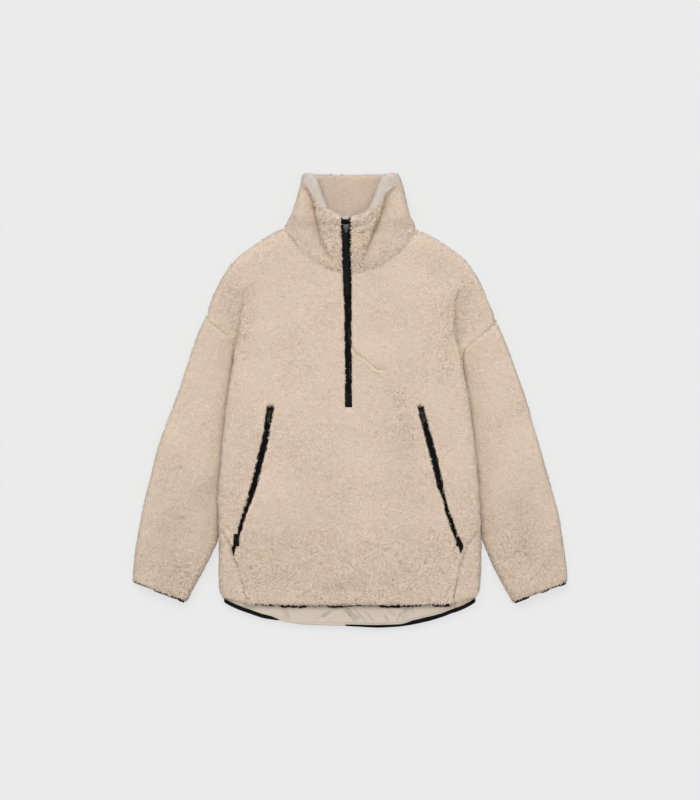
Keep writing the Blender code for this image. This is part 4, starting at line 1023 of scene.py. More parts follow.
for (x, y), way in ((SEAM_LINES[0][0], -1.0), (SEAM_LINES[1][0], 1.0)):
    corner = np.array([(x - inward * way, y, z) for inward, z in CORNERS])
    place, tilted = fringe(corner, CORNER_FRINGE, 1.6, 206 + int(way))
    tilted[:, 0] += 0.8 * way
    seam_places.append((place, tilted / np.linalg.norm(tilted, axis=1, keepdims=True)))
base = np.vstack([place for place, _ in seam_places]) - (0.0, 0.0, 0.4)
normal = np.vstack([tilted for _, tilted in seam_places])
seam_look = pile_values(*plan(base), 0.5, hollow=0.7 * hollow_at(*plan(base)))
seam_pile = tufts("seam_pile", base, normal, 0.5, SHERPA, 210, swirl=3.1, values=seam_look)

# ----------------------------------------
# Back panel: one piece of fleece under the front, flat on its pile on the surface, longer at the
# hem. Only its folded sides and its cut edge at the hem show.
BACK_STEP = 3
BACK_CURL = 0.3
BACK_PILE_PER_MM2 = 0.11
BACK_SEED = 40
back_table = [row[:6] + (middle,) + row[7:] for row, middle in zip(FRONT_ROWS, BACK_MIDDLE)]
back_table += BACK_TAIL
back_track = [((row[1] + row[4]) / 2.0 + row[6]) / 2.0 for row in back_table]
back_numbers = even_rows(back_track, (0, len(back_table) - 1), 5.0, BACK_STEP)
back_rows = smooth_rows(back_table, FRONT_COLUMNS, back_numbers)
back_x = over_zones((back_rows["left"], back_rows["left"] + back_rows["round"],
                     back_rows["right"] - back_rows["round"], back_rows["right"]),
                    ((2, "start"), (20, "even"), (2, "end")), BACK_STEP)
back_y = section_y(back_rows, back_x)
near_tail = np.clip(back_numbers - (len(back_table) - 2), 0.0, 1.0)[:, None]
back_y -= near_tail * read(BACK_HEM_DROP, back_x, 1)


def back_form(x, y, rows):
    """Outer and inner points of the back: flat below and turned up at its folded sides."""
    from_left, from_right = x - rows["fold_left"][:, None], rows["fold_right"][:, None] - x
    away = np.minimum(from_left, from_right)
    inward = np.where(from_left < from_right, 1.0, -1.0)
    width = rows["round"][:, None]
    up = rise(away / width)
    brow = SEAM_LEVEL - SEAM_GAP / 2.0
    shift = inward * FOLD_SHIFT * width * (1.0 - np.minimum(away / width, 1.0))
    return (np.stack([x, y, brow * (1.0 - up)], -1),
            np.stack([x + shift, y, brow + (SHERPA_WALL - brow) * up], -1))


back_outer, back_inner = back_form(back_x, back_y, back_rows)
back_swell = 0.5 * swollen(back_x, back_y, BACK_CURL, BACK_SEED) - 1.2
back_top = above_floor(raised(back_outer, back_swell, outward=-1.0))
back_piece = shell("back_cloth", back_top, back_inner[::BACK_STEP, ::BACK_STEP],
                   (BACK_STEP, BACK_STEP), SHERPA,
                   values=pile_values(back_x, back_y, BACK_CURL, BACK_SEED))
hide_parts("back_panel")
back_weight = np.where(back_outer[..., 2] > 0.8, 1.0, 0.0)
base, normal = scatter(back_top, back_weight, BACK_PILE_PER_MM2, BACK_SEED + 1, outward=-1.0)
back_pile = tufts("back_pile", base, normal, 0.4, SHERPA, BACK_SEED + 2, flow=(0.0, -0.6, 0.3),
                  values=pile_values(*plan(base), 0.4, BACK_SEED))

# ----------------------------------------
# Sleeves: tubes of fleece folded flat, seamed to the dropped shoulders and cut off at the cuffs,
# with a few soft folds near the cuff and a rounded dip along both seams.
SLEEVE_STEPS = (4, 5)
SLEEVE_TOP = 22.5
SLEEVE_EDGE = 13.0        # width that a sleeve's fold is rounded over
SLEEVE_PITCH = 2.7        # between rows of the sleeves' and side panels' grids
SHOWN_ABOVE = 2.0         # height above which the pile at a fold's underside shows
SLEEVE_COLUMNS = ("outer", "outer_y", "inner", "inner_y")
SLEEVE_ROWS = {
    "left": ((-274.3, 159.6, -217.6, 107.4), (-287, 134, -224, 86), (-300, 101.5, -228, 62),
             (-315.5, 50, -233.5, 18), (-330.5, 5, -239, -24), (-349.5, -41, -243.5, -67),
             (-365, -86.5, -248, -113), (-376, -132, -251.5, -160), (-387.5, -174, -253.5, -204),
             (-398, -223, -254, -252), (-405.5, -265, -259, -283), (-410.5, -295, -273.5, -314),
             (-412.5, -317, -293, -349), (-413.4, -332, -303, -368),
             (-413.8, -343.5, -310.5, -382)),
    "right": ((279.3, 150.6, 213.6, 93.4), (290.5, 126, 217.5, 67), (303, 96, 222, 43),
              (317, 54, 227, 12), (332.5, 10.5, 232.3, -22), (348, -41, 238, -67),
              (361, -86.5, 243.3, -113), (374, -132, 247.5, -160), (386.5, -174, 250.3, -202),
              (399, -223, 254, -252), (405, -269, 260, -290), (409.5, -296, 273.5, -318),
              (412, -319, 292.5, -355), (412.8, -332, 302, -371), (413.2, -343.5, 309.5, -383)),
}
# start x and y, end x and y, width and height of each soft fold
SLEEVE_FOLDS = {
    "left": ((-352, -246, -262, -176, 20, -1.6), (-376, -322, -352, -330, 14, -2.2),
             (-330, -318, -322, -340, 13, -1.8), (-262, 60, -272, -40, 20, -2.2),
             (-330, -120, -300, -150, 26, 1.6), (-380, -262, -330, -276, 16, 1.6)),
    "right": ((314, -214, 333, -306, 16, -2.4), (372, -320, 392, -300, 14, -1.8),
              (262, 50, 272, -50, 20, -2.2), (346, -130, 322, -170, 26, 1.6),
              (352, -250, 366, -310, 16, 1.4), (288, -250, 298, -300, 14, -2.0)),
}


def sleeve_form(rows, folds, depth):
    """Points round a flattened sleeve at a depth in its wall, 0 outside to 1 inside."""
    span_x, span_y = rows["inner"] - rows["outer"], rows["inner_y"] - rows["outer_y"]
    width = np.hypot(span_x, span_y)
    edge = np.full_like(width, SLEEVE_EDGE)
    over = over_zones((0 * width, edge, width - edge, width),
                      ((2, "start"), (8, "even"), (2, "end")), SLEEVE_STEPS[1])
    along = np.hstack([over, over[:, -2:0:-1]])
    above = np.arange(along.shape[1]) < over.shape[1]
    away = np.minimum(along, width[:, None] - along)
    turn = np.where(along < width[:, None] / 2.0, 1.0, -1.0)
    up = rise(away / SLEEVE_EDGE)
    shift = FOLD_SHIFT * SLEEVE_EDGE * (1.0 - np.minimum(away / SLEEVE_EDGE, 1.0)) * turn * depth
    share = (along + shift) / width[:, None]
    x = rows["outer"][:, None] + share * span_x[:, None]
    y = rows["outer_y"][:, None] + share * span_y[:, None]
    crown = SLEEVE_TOP + folds_at(x, y, folds)
    level = np.where(above, crown + (FRONT_BACKING - crown) * depth, SHERPA_WALL * depth)
    return np.stack([x, y, SEAM_LEVEL + (level - SEAM_LEVEL) * up], -1), above


SLEEVE_UNDER = 5.2        # how far the pile of a sleeve reaches under the body's fold


def shaded(away):
    """0 to 1 on a sleeve beside the body's fold, by the distance from its inner edge."""
    return 0.22 * bell(away, 34.0) + 0.36 * bell(away, 9.0)


sleeve_pieces, sleeve_piles, sleeve_rows = {}, {}, {}
for number, side in enumerate(("left", "right")):
    track = [(row[1] + row[3]) / 2.0 for row in SLEEVE_ROWS[side]]
    numbers = even_rows(track, (0, len(track) - 1), SLEEVE_PITCH, SLEEVE_STEPS[0])
    rows = smooth_rows(SLEEVE_ROWS[side], SLEEVE_COLUMNS, numbers)
    sign = 1.0 if side == "left" else -1.0
    beside_body = ease((rows["inner_y"] + 292.0) / 30.0) * ease(numbers / 0.35)
    rows["inner"] = rows["inner"] + sign * SLEEVE_UNDER * beside_body
    outer, above = sleeve_form(rows, SLEEVE_FOLDS[side], 0.0)
    inner, _ = sleeve_form(rows, SLEEVE_FOLDS[side], 1.0)
    from_body = (rows["inner"][:, None] - outer[..., 0]) * sign
    near_body = above * beside_body[:, None]
    outer[..., 2] -= 2.6 * bell(from_body - 6.0, 17.0) * near_body
    ends = np.interp(numbers, np.arange(len(track)), track)
    from_seam, from_cuff = (ends[0] - ends)[:, None], (ends - ends[-1])[:, None]
    seed = 60 + 5 * number
    curl = curl_at(*plan(outer))
    height = swollen(*plan(outer), curl, seed)
    height = height - PILE_INSET - bell(from_seam, 4.5)
    height = np.where(above, height - 2.6 * (1.0 - rise(from_cuff / 7.0)), 0.5 * height - 0.4)
    top = above_floor(raised(outer, height, closed=True, outward=sign))
    coarse_inner = inner[::SLEEVE_STEPS[0], ::SLEEVE_STEPS[1]]
    look = pile_values(*plan(top), curl, seed,
                       np.maximum(hollow_at(*plan(top)), shaded(from_body)))
    piece = shell(f"sleeve_cloth_{side}", top, coarse_inner, SLEEVE_STEPS, SHERPA, closed=True,
                  values=look)
    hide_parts(f"sleeve_{side}")
    weight = (above | (top[..., 2] > SHOWN_ABOVE)) * standing(*plan(top))
    base, normal = scatter(top, weight, PILE_PER_MM2, 61 + number, closed=True, outward=sign)
    x, y = plan(base)
    away = (np.interp(-y, -rows["inner_y"], rows["inner"]) - x) * sign
    curl = curl_at(x, y)
    look = pile_values(x, y, curl, seed,
                       np.maximum(hollow_at(x, y), shaded(away) * ease((y + 300.0) / 30.0)))
    pile = tufts(f"sleeve_pile_{side}", base, normal, curl, SHERPA, 64 + number, values=look)
    sleeve_pieces[side], sleeve_piles[side], sleeve_rows[side] = piece, pile, rows

# ----------------------------------------
# Side panels: small triangles of fleece low at the hem that wrap the folded side, seamed to the
# front along a slanting line.
SIDE_STEPS = (4, 4)
SIDE_EDGE = 13.0
SIDE_FOLD_SHIFT = 0.72
SIDE_CURL = 0.5
SIDE_COLUMNS = ("fold", "fold_y", "seam", "seam_y", "back_seam_y")
SIDE_ROWS = {
    "left": ((-248.4, -243.5, -245, -243.5, -243.5), (-249, -250, -240.8, -250, -250),
             (-249.5, -257, -236.4, -257, -257), (-249.8, -274, -225.4, -274, -274),
             (-250, -312, -213.4, -314, -314),
             (-250, -340, -203.4, -348, -348), (-249.6, -352, -200.2, -361, -370),
             (-246.8, -367, -194.5, -386, -398.4)),
    "right": ((249.5, -243.5, 245, -243.5, -243.5), (250.2, -250, 239.3, -250, -250),
              (250, -257, 233.4, -257, -257), (250.4, -274, 219.9, -274, -274),
              (249.6, -312, 208.4, -314, -314),
              (248.8, -340, 201.4, -348, -348), (248.3, -350, 198.8, -361, -370),
              (245.5, -364, 194.5, -386, -400.3)),
}
side_pieces, side_piles = {}, {}
for number, side in enumerate(("left", "right")):
    sign = 1.0 if side == "left" else -1.0
    track = [(row[1] + row[3]) / 2.0 for row in SIDE_ROWS[side]]
    numbers = even_rows(track, (0, len(track) - 1), SLEEVE_PITCH, SIDE_STEPS[0])
    rows = {key: value[:, None]
            for key, value in smooth_rows(SIDE_ROWS[side], SIDE_COLUMNS, numbers).items()}
    width = np.maximum(np.abs(rows["seam"] - rows["fold"]) - 2 * SEAM_GAP, 1.0)
    edge = np.minimum(SIDE_EDGE, 0.6 * width)
    half_ring = over_zones((0 * width[:, 0], edge[:, 0], width[:, 0]),
                           ((2, "start"), (4, "even")), SIDE_STEPS[1])
    along = np.hstack([half_ring[:, ::-1], half_ring[:, 1:]])
    above = np.arange(along.shape[1]) < half_ring.shape[1]
    goal = np.where(above, rows["seam_y"], rows["back_seam_y"])
    y = rows["fold_y"] + (goal - rows["fold_y"]) * np.sqrt(along / width)
    x = rows["fold"] + sign * along
    up = rise(along / SIDE_EDGE)
    near_hem = rows["seam_y"] - SIDE_ROWS[side][-1][3]
    crown = np.where(above, BODY_TOP - PILE_DROP * (1.0 - rise(near_hem / PILE_ROUND)), 0.0)
    wall = np.where(above, FRONT_BACKING, SHERPA_WALL)
    outer = np.stack([x, y, SEAM_LEVEL + (crown - SEAM_LEVEL) * up], -1)
    shift = sign * SIDE_FOLD_SHIFT * SIDE_EDGE * (1.0 - np.minimum(along / SIDE_EDGE, 1.0))
    inner = np.stack([x + shift, y, SEAM_LEVEL + (wall - SEAM_LEVEL) * up], -1)
    seed = 80 + 5 * number
    height = 0.8 * swollen(x, y, SIDE_CURL, seed) - PILE_INSET
    height = height - bell(width - along, 4.5) * above
    top = above_floor(raised(outer, height, outward=-sign))
    piece = shell(f"side_cloth_{side}", top, inner[::SIDE_STEPS[0], ::SIDE_STEPS[1]], SIDE_STEPS,
                  SHERPA, values=pile_values(x, y, SIDE_CURL, seed, hollow_at(x, y)))
    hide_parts(f"side_panel_{side}")
    shown = (above | (top[..., 2] > SHOWN_ABOVE)) & (near_hem > 4.5)
    weight = shown * standing(*plan(top))
    base, normal = scatter(top, weight, PILE_PER_MM2, 81 + number, outward=-sign)
    x, y = plan(base)
    pile = tufts(f"side_pile_{side}", base, normal, SIDE_CURL, SHERPA, 84 + number,
                 values=pile_values(x, y, SIDE_CURL, seed, hollow_at(x, y)))
    side_pieces[side], side_piles[side] = piece, pile

# ----------------------------------------
# Stand collar: two layers of fleece round the neck, open at the zip. The front lies on the back
# with a small mouth between, creased down each side, and rolls over at its thick top edge.
COLLAR_STEPS = (4, 5)
COLLAR_CELLS = 13
COLLAR_HEIGHT = 104.0
COLLAR_WALL = 17.0
COLLAR_SEAM_WALL = 12.5
COLLAR_MOUTH = 5.0
COLLAR_EDGE = ((0.0, 30.0), (0.3, 18.0), (1.0, 16.0))    # share of height, rounding's width
COLLAR_RIM = 8.5
RIM_TURN = 0.8
COLLAR_ROLL = (9.0, 7.0, 1.5)     # distance from the rim, width and height
COLLAR_HOLLOW = (23.0, 4.0, 2.2)  # distance from the rim, width and depth
NECK_FLAT = 326.0
LYING_GAP = 2.0
COLLAR_FOLD_SHIFT = 0.84
NECK_GAP = 1.0
OUTER_SHARE = 0.46
BACK_NECK_MIDDLE = 311.0
# share of height, x of the left and right side
COLLAR_SIDES = ((0.0, -125.4, 127.4), (0.25, -112.5, 114.5), (0.5, -104, 109),
                (0.75, -97, 103), (1.0, -91, 93.5))
# share from the middle to a side, y of the top edge at the front and at the back
COLLAR_TOP = ((0.0, 349), (0.14, 351), (0.30, 356), (0.38, 361), (0.46, 372), (0.54, 391),
              (0.62, 414), (0.70, 425.5), (0.80, 432), (0.90, 433), (1.0, 430))
RIM_OFFSET = 0.055        # how far left of the middle the front rim is lowest, as a share
BACK_COLLAR_TOP = ((0.0, 429.5), (0.5, 430.5), (0.8, 432), (0.9, 433), (1.0, 430))
# y, x and depth of the crease down each side of the front
COLLAR_CREASE = {
    "left": ((270, -38.5, 1.5), (298, -54, 4.0), (331, -61, 6.0), (358, -67, 6.0),
             (379, -72, 5.0), (398, -81, 3.5), (415, -90, 0.0)),
    "right": ((271, 26.5, 1.5), (294, 35.5, 4.0), (317, 44, 6.0), (342, 55, 7.0),
              (366, 63.5, 6.5), (389, 69, 4.0), (402, 81, 1.5), (415, 92, 0.0)),
}


def collar_place(share, height, face):
    """x and y of the collar at shares across, -1 to 1, and shares of its height."""
    left, right = read(COLLAR_SIDES, height, 1), read(COLLAR_SIDES, height, 2)
    x = (left + right) / 2.0 + share * (right - left) / 2.0
    first = FRONT_ROWS[0]
    bow = 1.0 - np.abs(share) ** NECK_POWER
    level = (first[1] + first[4]) / 2.0
    straight = first[1] + (share + 1.0) / 2.0 * (first[4] - first[1])
    low_front = straight + (first[6] - level) * bow
    low_back = NECK_FLAT - 2.0 * share + (BACK_NECK_MIDDLE - NECK_FLAT) * bow
    soft = (-0.03, -0.015, 0.0, 0.015, 0.03)
    along = np.abs(share + RIM_OFFSET * (1.0 - share * share))
    high_front = sum(read(COLLAR_TOP, along + step, 1) for step in soft) / len(soft)
    high_back = read(BACK_COLLAR_TOP, np.abs(share), 1)
    low = np.where(face > 0, low_front, low_back) + NECK_GAP
    high = np.where(face > 0, high_front, high_back)
    return x, low + height * (high - low)


def rim_distance(x, y, face):
    """Distance from places to the collar's top edge, front or back."""
    shares = np.linspace(-1.0, 1.0, 33)
    rims = [np.stack(collar_place(shares, 1.0, side), -1) for side in (1.0, -1.0)]
    return np.where(face > 0, *(to_line(x, y, rim) for rim in rims))


def collar_form(share, height, face, depth):
    """Points of the collar's wall at a depth from 0, the outside, to 1, the inside."""
    x, y = collar_place(share, height, face)
    half_width = (read(COLLAR_SIDES, height, 2) - read(COLLAR_SIDES, height, 1)) / 2.0
    away = (1.0 - np.abs(share)) * half_width
    edge = read(COLLAR_EDGE, height, 1)
    up = rise(away / edge)
    inward = np.where(share < 0, 1.0, -1.0)
    shift = inward * COLLAR_FOLD_SHIFT * edge * (1.0 - np.minimum(away / edge, 1.0)) * depth
    seam = NECK_FLAT + (BACK_NECK_MIDDLE - NECK_FLAT) * (1.0 - share * share)
    lying = SHERPA_WALL + (COLLAR_WALL - SHERPA_WALL) * ease((y - seam) / 30.0)
    level = lying + 1.0
    from_rim = rim_distance(x, y, face)
    rim = COLLAR_RIM * RIM_TURN * (1.0 - rise(from_rim / COLLAR_RIM))
    inside = lying + LYING_GAP + COLLAR_MOUTH * (1.0 - share * share) * ease(height / 0.6)
    wall = COLLAR_SEAM_WALL + (COLLAR_WALL - COLLAR_SEAM_WALL) * ease(height / 0.45)
    outside = inside + wall + COLLAR_ROLL[2] * bell(from_rim - COLLAR_ROLL[0], COLLAR_ROLL[1])
    outside -= (COLLAR_HOLLOW[2] * bell(from_rim - COLLAR_HOLLOW[0], COLLAR_HOLLOW[1])
                * ease((0.5 - np.abs(share)) / 0.2))
    outside -= (crease_depth(COLLAR_CREASE, x, y, 2.8, 17.0) * ease((y - 255.0) / 15.0))
    high = np.where(face > 0, outside - rim, rim)
    low = np.where(face > 0, inside + rim, lying - rim)
    z = high + (low - high) * depth
    return np.stack([x + shift, y, level + (z - level) * up], -1), from_rim


def collar_stations(heights):
    """Shares and faces round the collar: front from the zip, back, and front again."""
    left, right = read(COLLAR_SIDES, heights, 1), read(COLLAR_SIDES, heights, 2)
    zip_y = collar_place(np.zeros_like(heights), heights, 1.0)[1]
    slot = [(edge - (left + right) / 2.0) / ((right - left) / 2.0) for edge in zip_edges(zip_y)]
    fold = read(COLLAR_EDGE, heights, 1) / ((right - left) / 2.0)
    one = np.ones_like(heights)
    borders = (slot[0], fold - one, -one, fold - one, one - fold, one, one - fold, slot[1])
    zones = ((9, "even"), (2, "end"), (2, "start"), (8, "even"), (2, "end"), (2, "start"),
             (9, "even"))
    faces = [np.full(cells * COLLAR_STEPS[1], face)
             for (cells, _), face in zip(zones, (1, 1, -1, -1, -1, 1, 1))]
    return (over_zones(borders, zones, COLLAR_STEPS[1]),
            np.concatenate(faces + [[1]])[None, :])


def collar_look(layer, x, y, from_rim):
    """Curl, painted shade and rubbing of the pile of a layer of the collar at places."""
    if layer == "inner":
        return 0.08 + 0.0 * x, 0.0 * x, 0.5 * bell(from_rim, 9.0)
    between = (x > read(COLLAR_CREASE["left"], y, 1)) & (x < read(COLLAR_CREASE["right"], y, 1))
    broad = 8.0 + 8.0 * ease((y - 366.0) / 24.0)
    rim = bell(np.maximum(from_rim - broad, 0.0), 5.0) * np.where(between, 1.0, 0.4)
    rim = rim * (0.3 + 0.7 * ease((y - 356.0) / 26.0))
    near_seam = bell(to_line(x, y, NECK_SEAM), 16.0)
    curly = np.where(between, 0.85, 0.2 + 0.4 * near_seam) * (1.0 - 0.85 * rim)
    return curly, np.maximum(crease_shade(COLLAR_CREASE, x, y), hollow_at(x, y)), rim


collar_heights = np.linspace(0.0, 1.0, COLLAR_CELLS * COLLAR_STEPS[0] + 1)
collar_share, collar_face = collar_stations(collar_heights)
collar_height = collar_heights[:, None] * np.ones_like(collar_share)
collar_face = collar_face * np.ones_like(collar_share)
collar_pieces, collar_piles = {}, {}
for number, (layer, shallow, deep, sign, material, slot) in enumerate((
        ("outer", 0.0, OUTER_SHARE, 1.0, SHERPA, "fleece"),
        ("inner", 1.0, OUTER_SHARE + 0.04, -1.0, SHADED_SHERPA, "fleece_inside"))):
    outside, from_rim = collar_form(collar_share, collar_height, collar_face, shallow)
    inside, _ = collar_form(collar_share, collar_height, collar_face, deep)
    x, y = plan(outside)
    seed = 100 + 7 * number
    curly, hollow, rim = collar_look(layer, x, y, from_rim)
    height = swollen(x, y, curly, seed) * (1.0 - 0.8 * rim) - PILE_INSET
    if layer == "outer":
        height = height - 0.7 * bell(collar_height * COLLAR_HEIGHT, 4.5)
        height = height - 2.2 * (1.0 - rise(from_slot(x, y) / 5.0)) * (collar_face > 0)
    top = above_floor(raised(outside, height, outward=sign))
    piece = shell(f"collar_cloth_{layer}", top, inside[::COLLAR_STEPS[0], ::COLLAR_STEPS[1]],
                  COLLAR_STEPS, material, values=pile_values(x, y, curly, seed, hollow, rim))
    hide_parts(f"collar_{layer}")
    if layer == "outer":
        parted = 0.9 * ease(crease_shade(COLLAR_CREASE, x, y) * 1.8 - 0.5)
        weight = ((collar_face > 0) | (top[..., 2] > SHOWN_ABOVE)) * (1.0 - parted)
    else:
        weight = 1.0 * ((collar_face < 0) & (y > 335.0) | (from_rim < 9.0))
    base, normal = scatter(top, weight, PILE_PER_MM2, 101 + number, outward=sign)
    x, y = plan(base)
    curly, hollow, rim = collar_look(layer, x, y, rim_distance(x, y, np.ones(len(base))))
    pile = tufts(f"collar_pile_{layer}", base, normal, curly, material, 104 + number, swirl=2.4,
                 values=pile_values(x, y, curly, seed, hollow, rim))
    collar_pieces[layer], collar_piles[layer] = piece, pile

# ----------------------------------------
# Shared tools for the trim: plain woven or metal materials, strips of tape, and rows of small
# blocks for teeth and stitches, each row joined in one mesh.
WAVE_PITCH = 0.314        # pitch of a wave texture's bands at a scale of 1


def plain(name, colour, roughness, specular=0.3, metal=0.0, weave=0.0, uneven=0.12):
    """Material of one slightly uneven colour, darker as painted shade where its shade attribute is
    high.

    weave is its threads' pitch in metres, or 0.
    """
    material, tree, shader = principled(name, roughness, specular)
    shader.inputs["Metallic"].default_value = metal
    mottle = add_node(tree, "ShaderNodeGroup", node_tree=PILE_MOTTLE,
                      inputs={"Broad": uneven, "Clump": uneven, "Fine": uneven})
    dark = add_node(tree, "ShaderNodeAttribute", attribute_name="hollow")
    lit = add_node(tree, "ShaderNodeMapRange", inputs={3: 1.0, 4: 0.45})
    wire(tree, dark.outputs["Fac"], lit.inputs[0])
    strength = maths(tree, "MULTIPLY", lit.outputs[0], mottle.outputs["Value"])
    shade = add_node(tree, "ShaderNodeVectorMath", operation="SCALE", inputs={0: colour})
    wire(tree, strength, shade.inputs["Scale"])
    wire(tree, shade.outputs[0], shader.inputs["Base Color"])
    if weave:
        place = add_node(tree, "ShaderNodeTexCoord")
        waves = [add_node(tree, "ShaderNodeTexWave", bands_direction=way,
                          inputs={"Scale": WAVE_PITCH / weave}) for way in ("X", "Y")]
        for wave in waves:
            wire(tree, place.outputs["Object"], wave.inputs["Vector"])
        threads = maths(tree, "ADD", *(wave.outputs["Fac"] for wave in waves))
        relief = add_node(tree, "ShaderNodeBump", inputs={"Strength": 0.3, "Distance": 0.0002})
        wire(tree, threads, relief.inputs["Height"])
        wire(tree, relief.outputs[0], shader.inputs["Normal"])
    return material


TAPE = plain("black_tape", (0.007, 0.007, 0.0072), 1.0, specular=0.06, weave=0.0012)
STRAP = plain("black_webbing", (0.008, 0.0085, 0.008), 0.9, specular=0.08, weave=0.0016)
COIL = plain("black_coil", (0.006, 0.006, 0.0065), 0.55, specular=0.1)
BLACK_HAIR = plain("black_hair", (0.008, 0.008, 0.008), 1.0, specular=0.05)
TWILL = plain("cream_twill", (0.55, 0.475, 0.395), 0.65, specular=0.2, weave=0.0011, uneven=0.04)
PALE = plain("pale_tab", (0.47, 0.46, 0.44), 0.7, specular=0.3, weave=0.001, uneven=0.04)
THREAD = plain("tan_thread", (0.36, 0.245, 0.15), 0.8, specular=0.1)
GLINT_GREY = plain("painted_glint_grey", (0.16, 0.16, 0.155), 0.8, specular=0.1)
ENAMEL = plain("black_enamel", (0.022, 0.022, 0.022), 0.3, specular=0.4, metal=0.6, uneven=0.2)
PULL_METAL = plain("black_nickel", (0.05, 0.05, 0.05), 0.3, metal=1.0, uneven=0.4)
SLIDER_METAL = plain("dark_nickel", (0.15, 0.15, 0.148), 0.34, metal=1.0, uneven=0.2)
for part, material in (("front_slider", SLIDER_METAL), ("front_pull_tab", ENAMEL),
                       ("pocket_slider_left", ENAMEL), ("pocket_slider_right", ENAMEL),
                       ("pocket_pull_left", PULL_METAL), ("pocket_pull_right", PULL_METAL)):
    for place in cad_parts[part].material_slots:
        place.material = material


def resampled(table, pitch):
    """A table read every pitch mm of its first column, y, from its highest to its lowest."""
    rows = np.array(sorted(table), float)
    count = max(2, round((rows[-1, 0] - rows[0, 0]) / pitch) + 1)
    y = np.linspace(rows[-1, 0], rows[0, 0], count)
    return np.stack([np.interp(y, rows[:, 0], column) for column in rows.T], 1)


def strip(name, track, thick, material, nodes=(), crown=0.0, across=6, body="garment"):
    """Closed strip of cloth along rows of (y, left, right, z), where z is its underside.

    Its edges and ends are rounded, and its middle stands crown higher.
    """
    y, left, right, z = np.array(track, float).T[:, :, None]
    t = np.linspace(0.0, 1.0, across + 1)
    row = np.arange(len(y))[:, None]
    edge = np.minimum(rise(np.minimum(t, 1.0 - t) * across),
                      rise(np.minimum(row, len(y) - 1 - row)))
    under = np.stack(np.broadcast_arrays(left + (right - left) * t, y, z), -1)
    top = under.copy()
    top[..., 2] += thick * (0.6 + 0.4 * edge) + crown * np.sin(math.pi * t) * edge
    piece = shell(name, top, under, (1, 1), material, body=body)
    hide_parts(*nodes)
    return piece


BLOCK_BEVEL = 0.35        # how much narrower a block's top is than its foot


def blocks(name, places, size, turn, material):
    """Small blocks with narrower tops at rows of (x, y, z), turned by radians, as one mesh."""
    places = np.asarray(places, float)
    turn = np.broadcast_to(turn, len(places))[:, None]
    corners = np.array([(sx * (1.0 - BLOCK_BEVEL * up), sy * (1.0 - BLOCK_BEVEL * up), up)
                        for up in (0, 1) for sx, sy in ((-1, -1), (1, -1), (1, 1), (-1, 1))])
    local = corners * np.array(size) * (0.5, 0.5, 1.0)
    points = np.empty((len(places), 8, 3))
    points[..., 0] = local[:, 0] * np.cos(turn) - local[:, 1] * np.sin(turn)
    points[..., 1] = local[:, 0] * np.sin(turn) + local[:, 1] * np.cos(turn)
    points[..., 2] = local[:, 2]
    points += places[:, None]
    quads = ((3, 2, 1, 0), (4, 5, 6, 7), (0, 1, 5, 4), (1, 2, 6, 5), (2, 3, 7, 6), (3, 0, 4, 7))
    start = 8 * np.arange(len(places))[:, None]
    faces = np.vstack([start + np.array(quad) for quad in quads]).tolist()
    piece = mesh_piece(name, points.reshape(-1, 3), faces, material, smooth=False)
    return piece


# ----------------------------------------
# Half zip: black woven tape with a nylon coil, a pale woven tab over its top, a black tab sewn
# over its end, and a webbing strap on the slider's pull tab. Small grey marks are painted glints.
TAPE_THICK = 1.2
TAPE_GAP = 0.35           # between the tape and the slot's edges
zip_y, zip_x, zip_half, zip_z = resampled(ZIP_LINE, 4.0).T
zip_track = np.stack([zip_y, zip_x - zip_half + TAPE_GAP, zip_x + zip_half - TAPE_GAP, zip_z], 1)
front_tape = strip("front_zip_tape", zip_track, TAPE_THICK, TAPE,
                   ("zip_tape_left", "zip_tape_right"), crown=0.4)
TOOTH = (2.0, 0.8, 0.9)
TOOTH_PITCH = 1.5
TOOTH_OFF = 1.1           # of a tooth from the zip's middle, left and right in turn
tooth_y = np.arange(-8.0, 340.0, TOOTH_PITCH / 2.0)
tooth_side = np.where(np.arange(len(tooth_y)) % 2, TOOTH_OFF, -TOOTH_OFF)
front_teeth = blocks("front_zip_teeth", np.stack([
    read(ZIP_LINE, tooth_y, 1) + tooth_side, tooth_y,
    read(ZIP_LINE, tooth_y, 3) + TAPE_THICK + 0.3], 1), TOOTH, 0.0, COIL)
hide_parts("zip_coil")
# y from and to, and distance from the middle, of each stretch of grey marks, painted glints
GLINT_ROWS = ((179.6, 167, 1.7), (138.7, 128.3, 1.7), (126.4, 109, 1.7), (124.0, 110, 4.2),
               (74.1, 69.0, 2.6), (61.8, 43.0, 2.8))
zip_glints = []
for high, low, off in GLINT_ROWS:
    y = np.arange(low, high, 2.85)
    zip_glints.append(np.stack([read(ZIP_LINE, y, 1) + off, y,
                                  read(ZIP_LINE, y, 3) + TAPE_THICK + 0.5], 1))
# grey marks like stitches along the zip, painted as glints
zip_glint_marks = blocks("front_zip_painted_glints", np.vstack(zip_glints), (0.9, 1.4, 0.7), 0.3,
                    GLINT_GREY)
tab_level = PER_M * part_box("zip_top_tab")[1][2] - 2.4
TOP_TAB = ((350.2, -12.6, -4.2), (349.4, -14.4, -2.4), (347.0, -15.4, -1.4),
           (344.4, -15.2, -1.6), (343.0, -13.4, -3.4))      # y, left and right
top_tab = strip("top_tab", [(*row, tab_level) for row in TOP_TAB], 1.4, PALE,
                ("zip_top_tab",), crown=1.4, across=8)
end_level = PER_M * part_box("zip_end_tab")[0][2]
end_tab = strip("end_tab", ((15.2, -9.6, 1.6, end_level), (12.6, -10.3, 2.0, end_level + 0.3),
                            (8.0, -10.4, 2.4, end_level), (-4.0, -10.4, 3.6, end_level),
                            (-11.6, -10.0, 4.6, end_level), (-12.6, -9.2, 4.2, end_level)),
                1.4, STRAP, ("zip_end_tab",), crown=0.5)
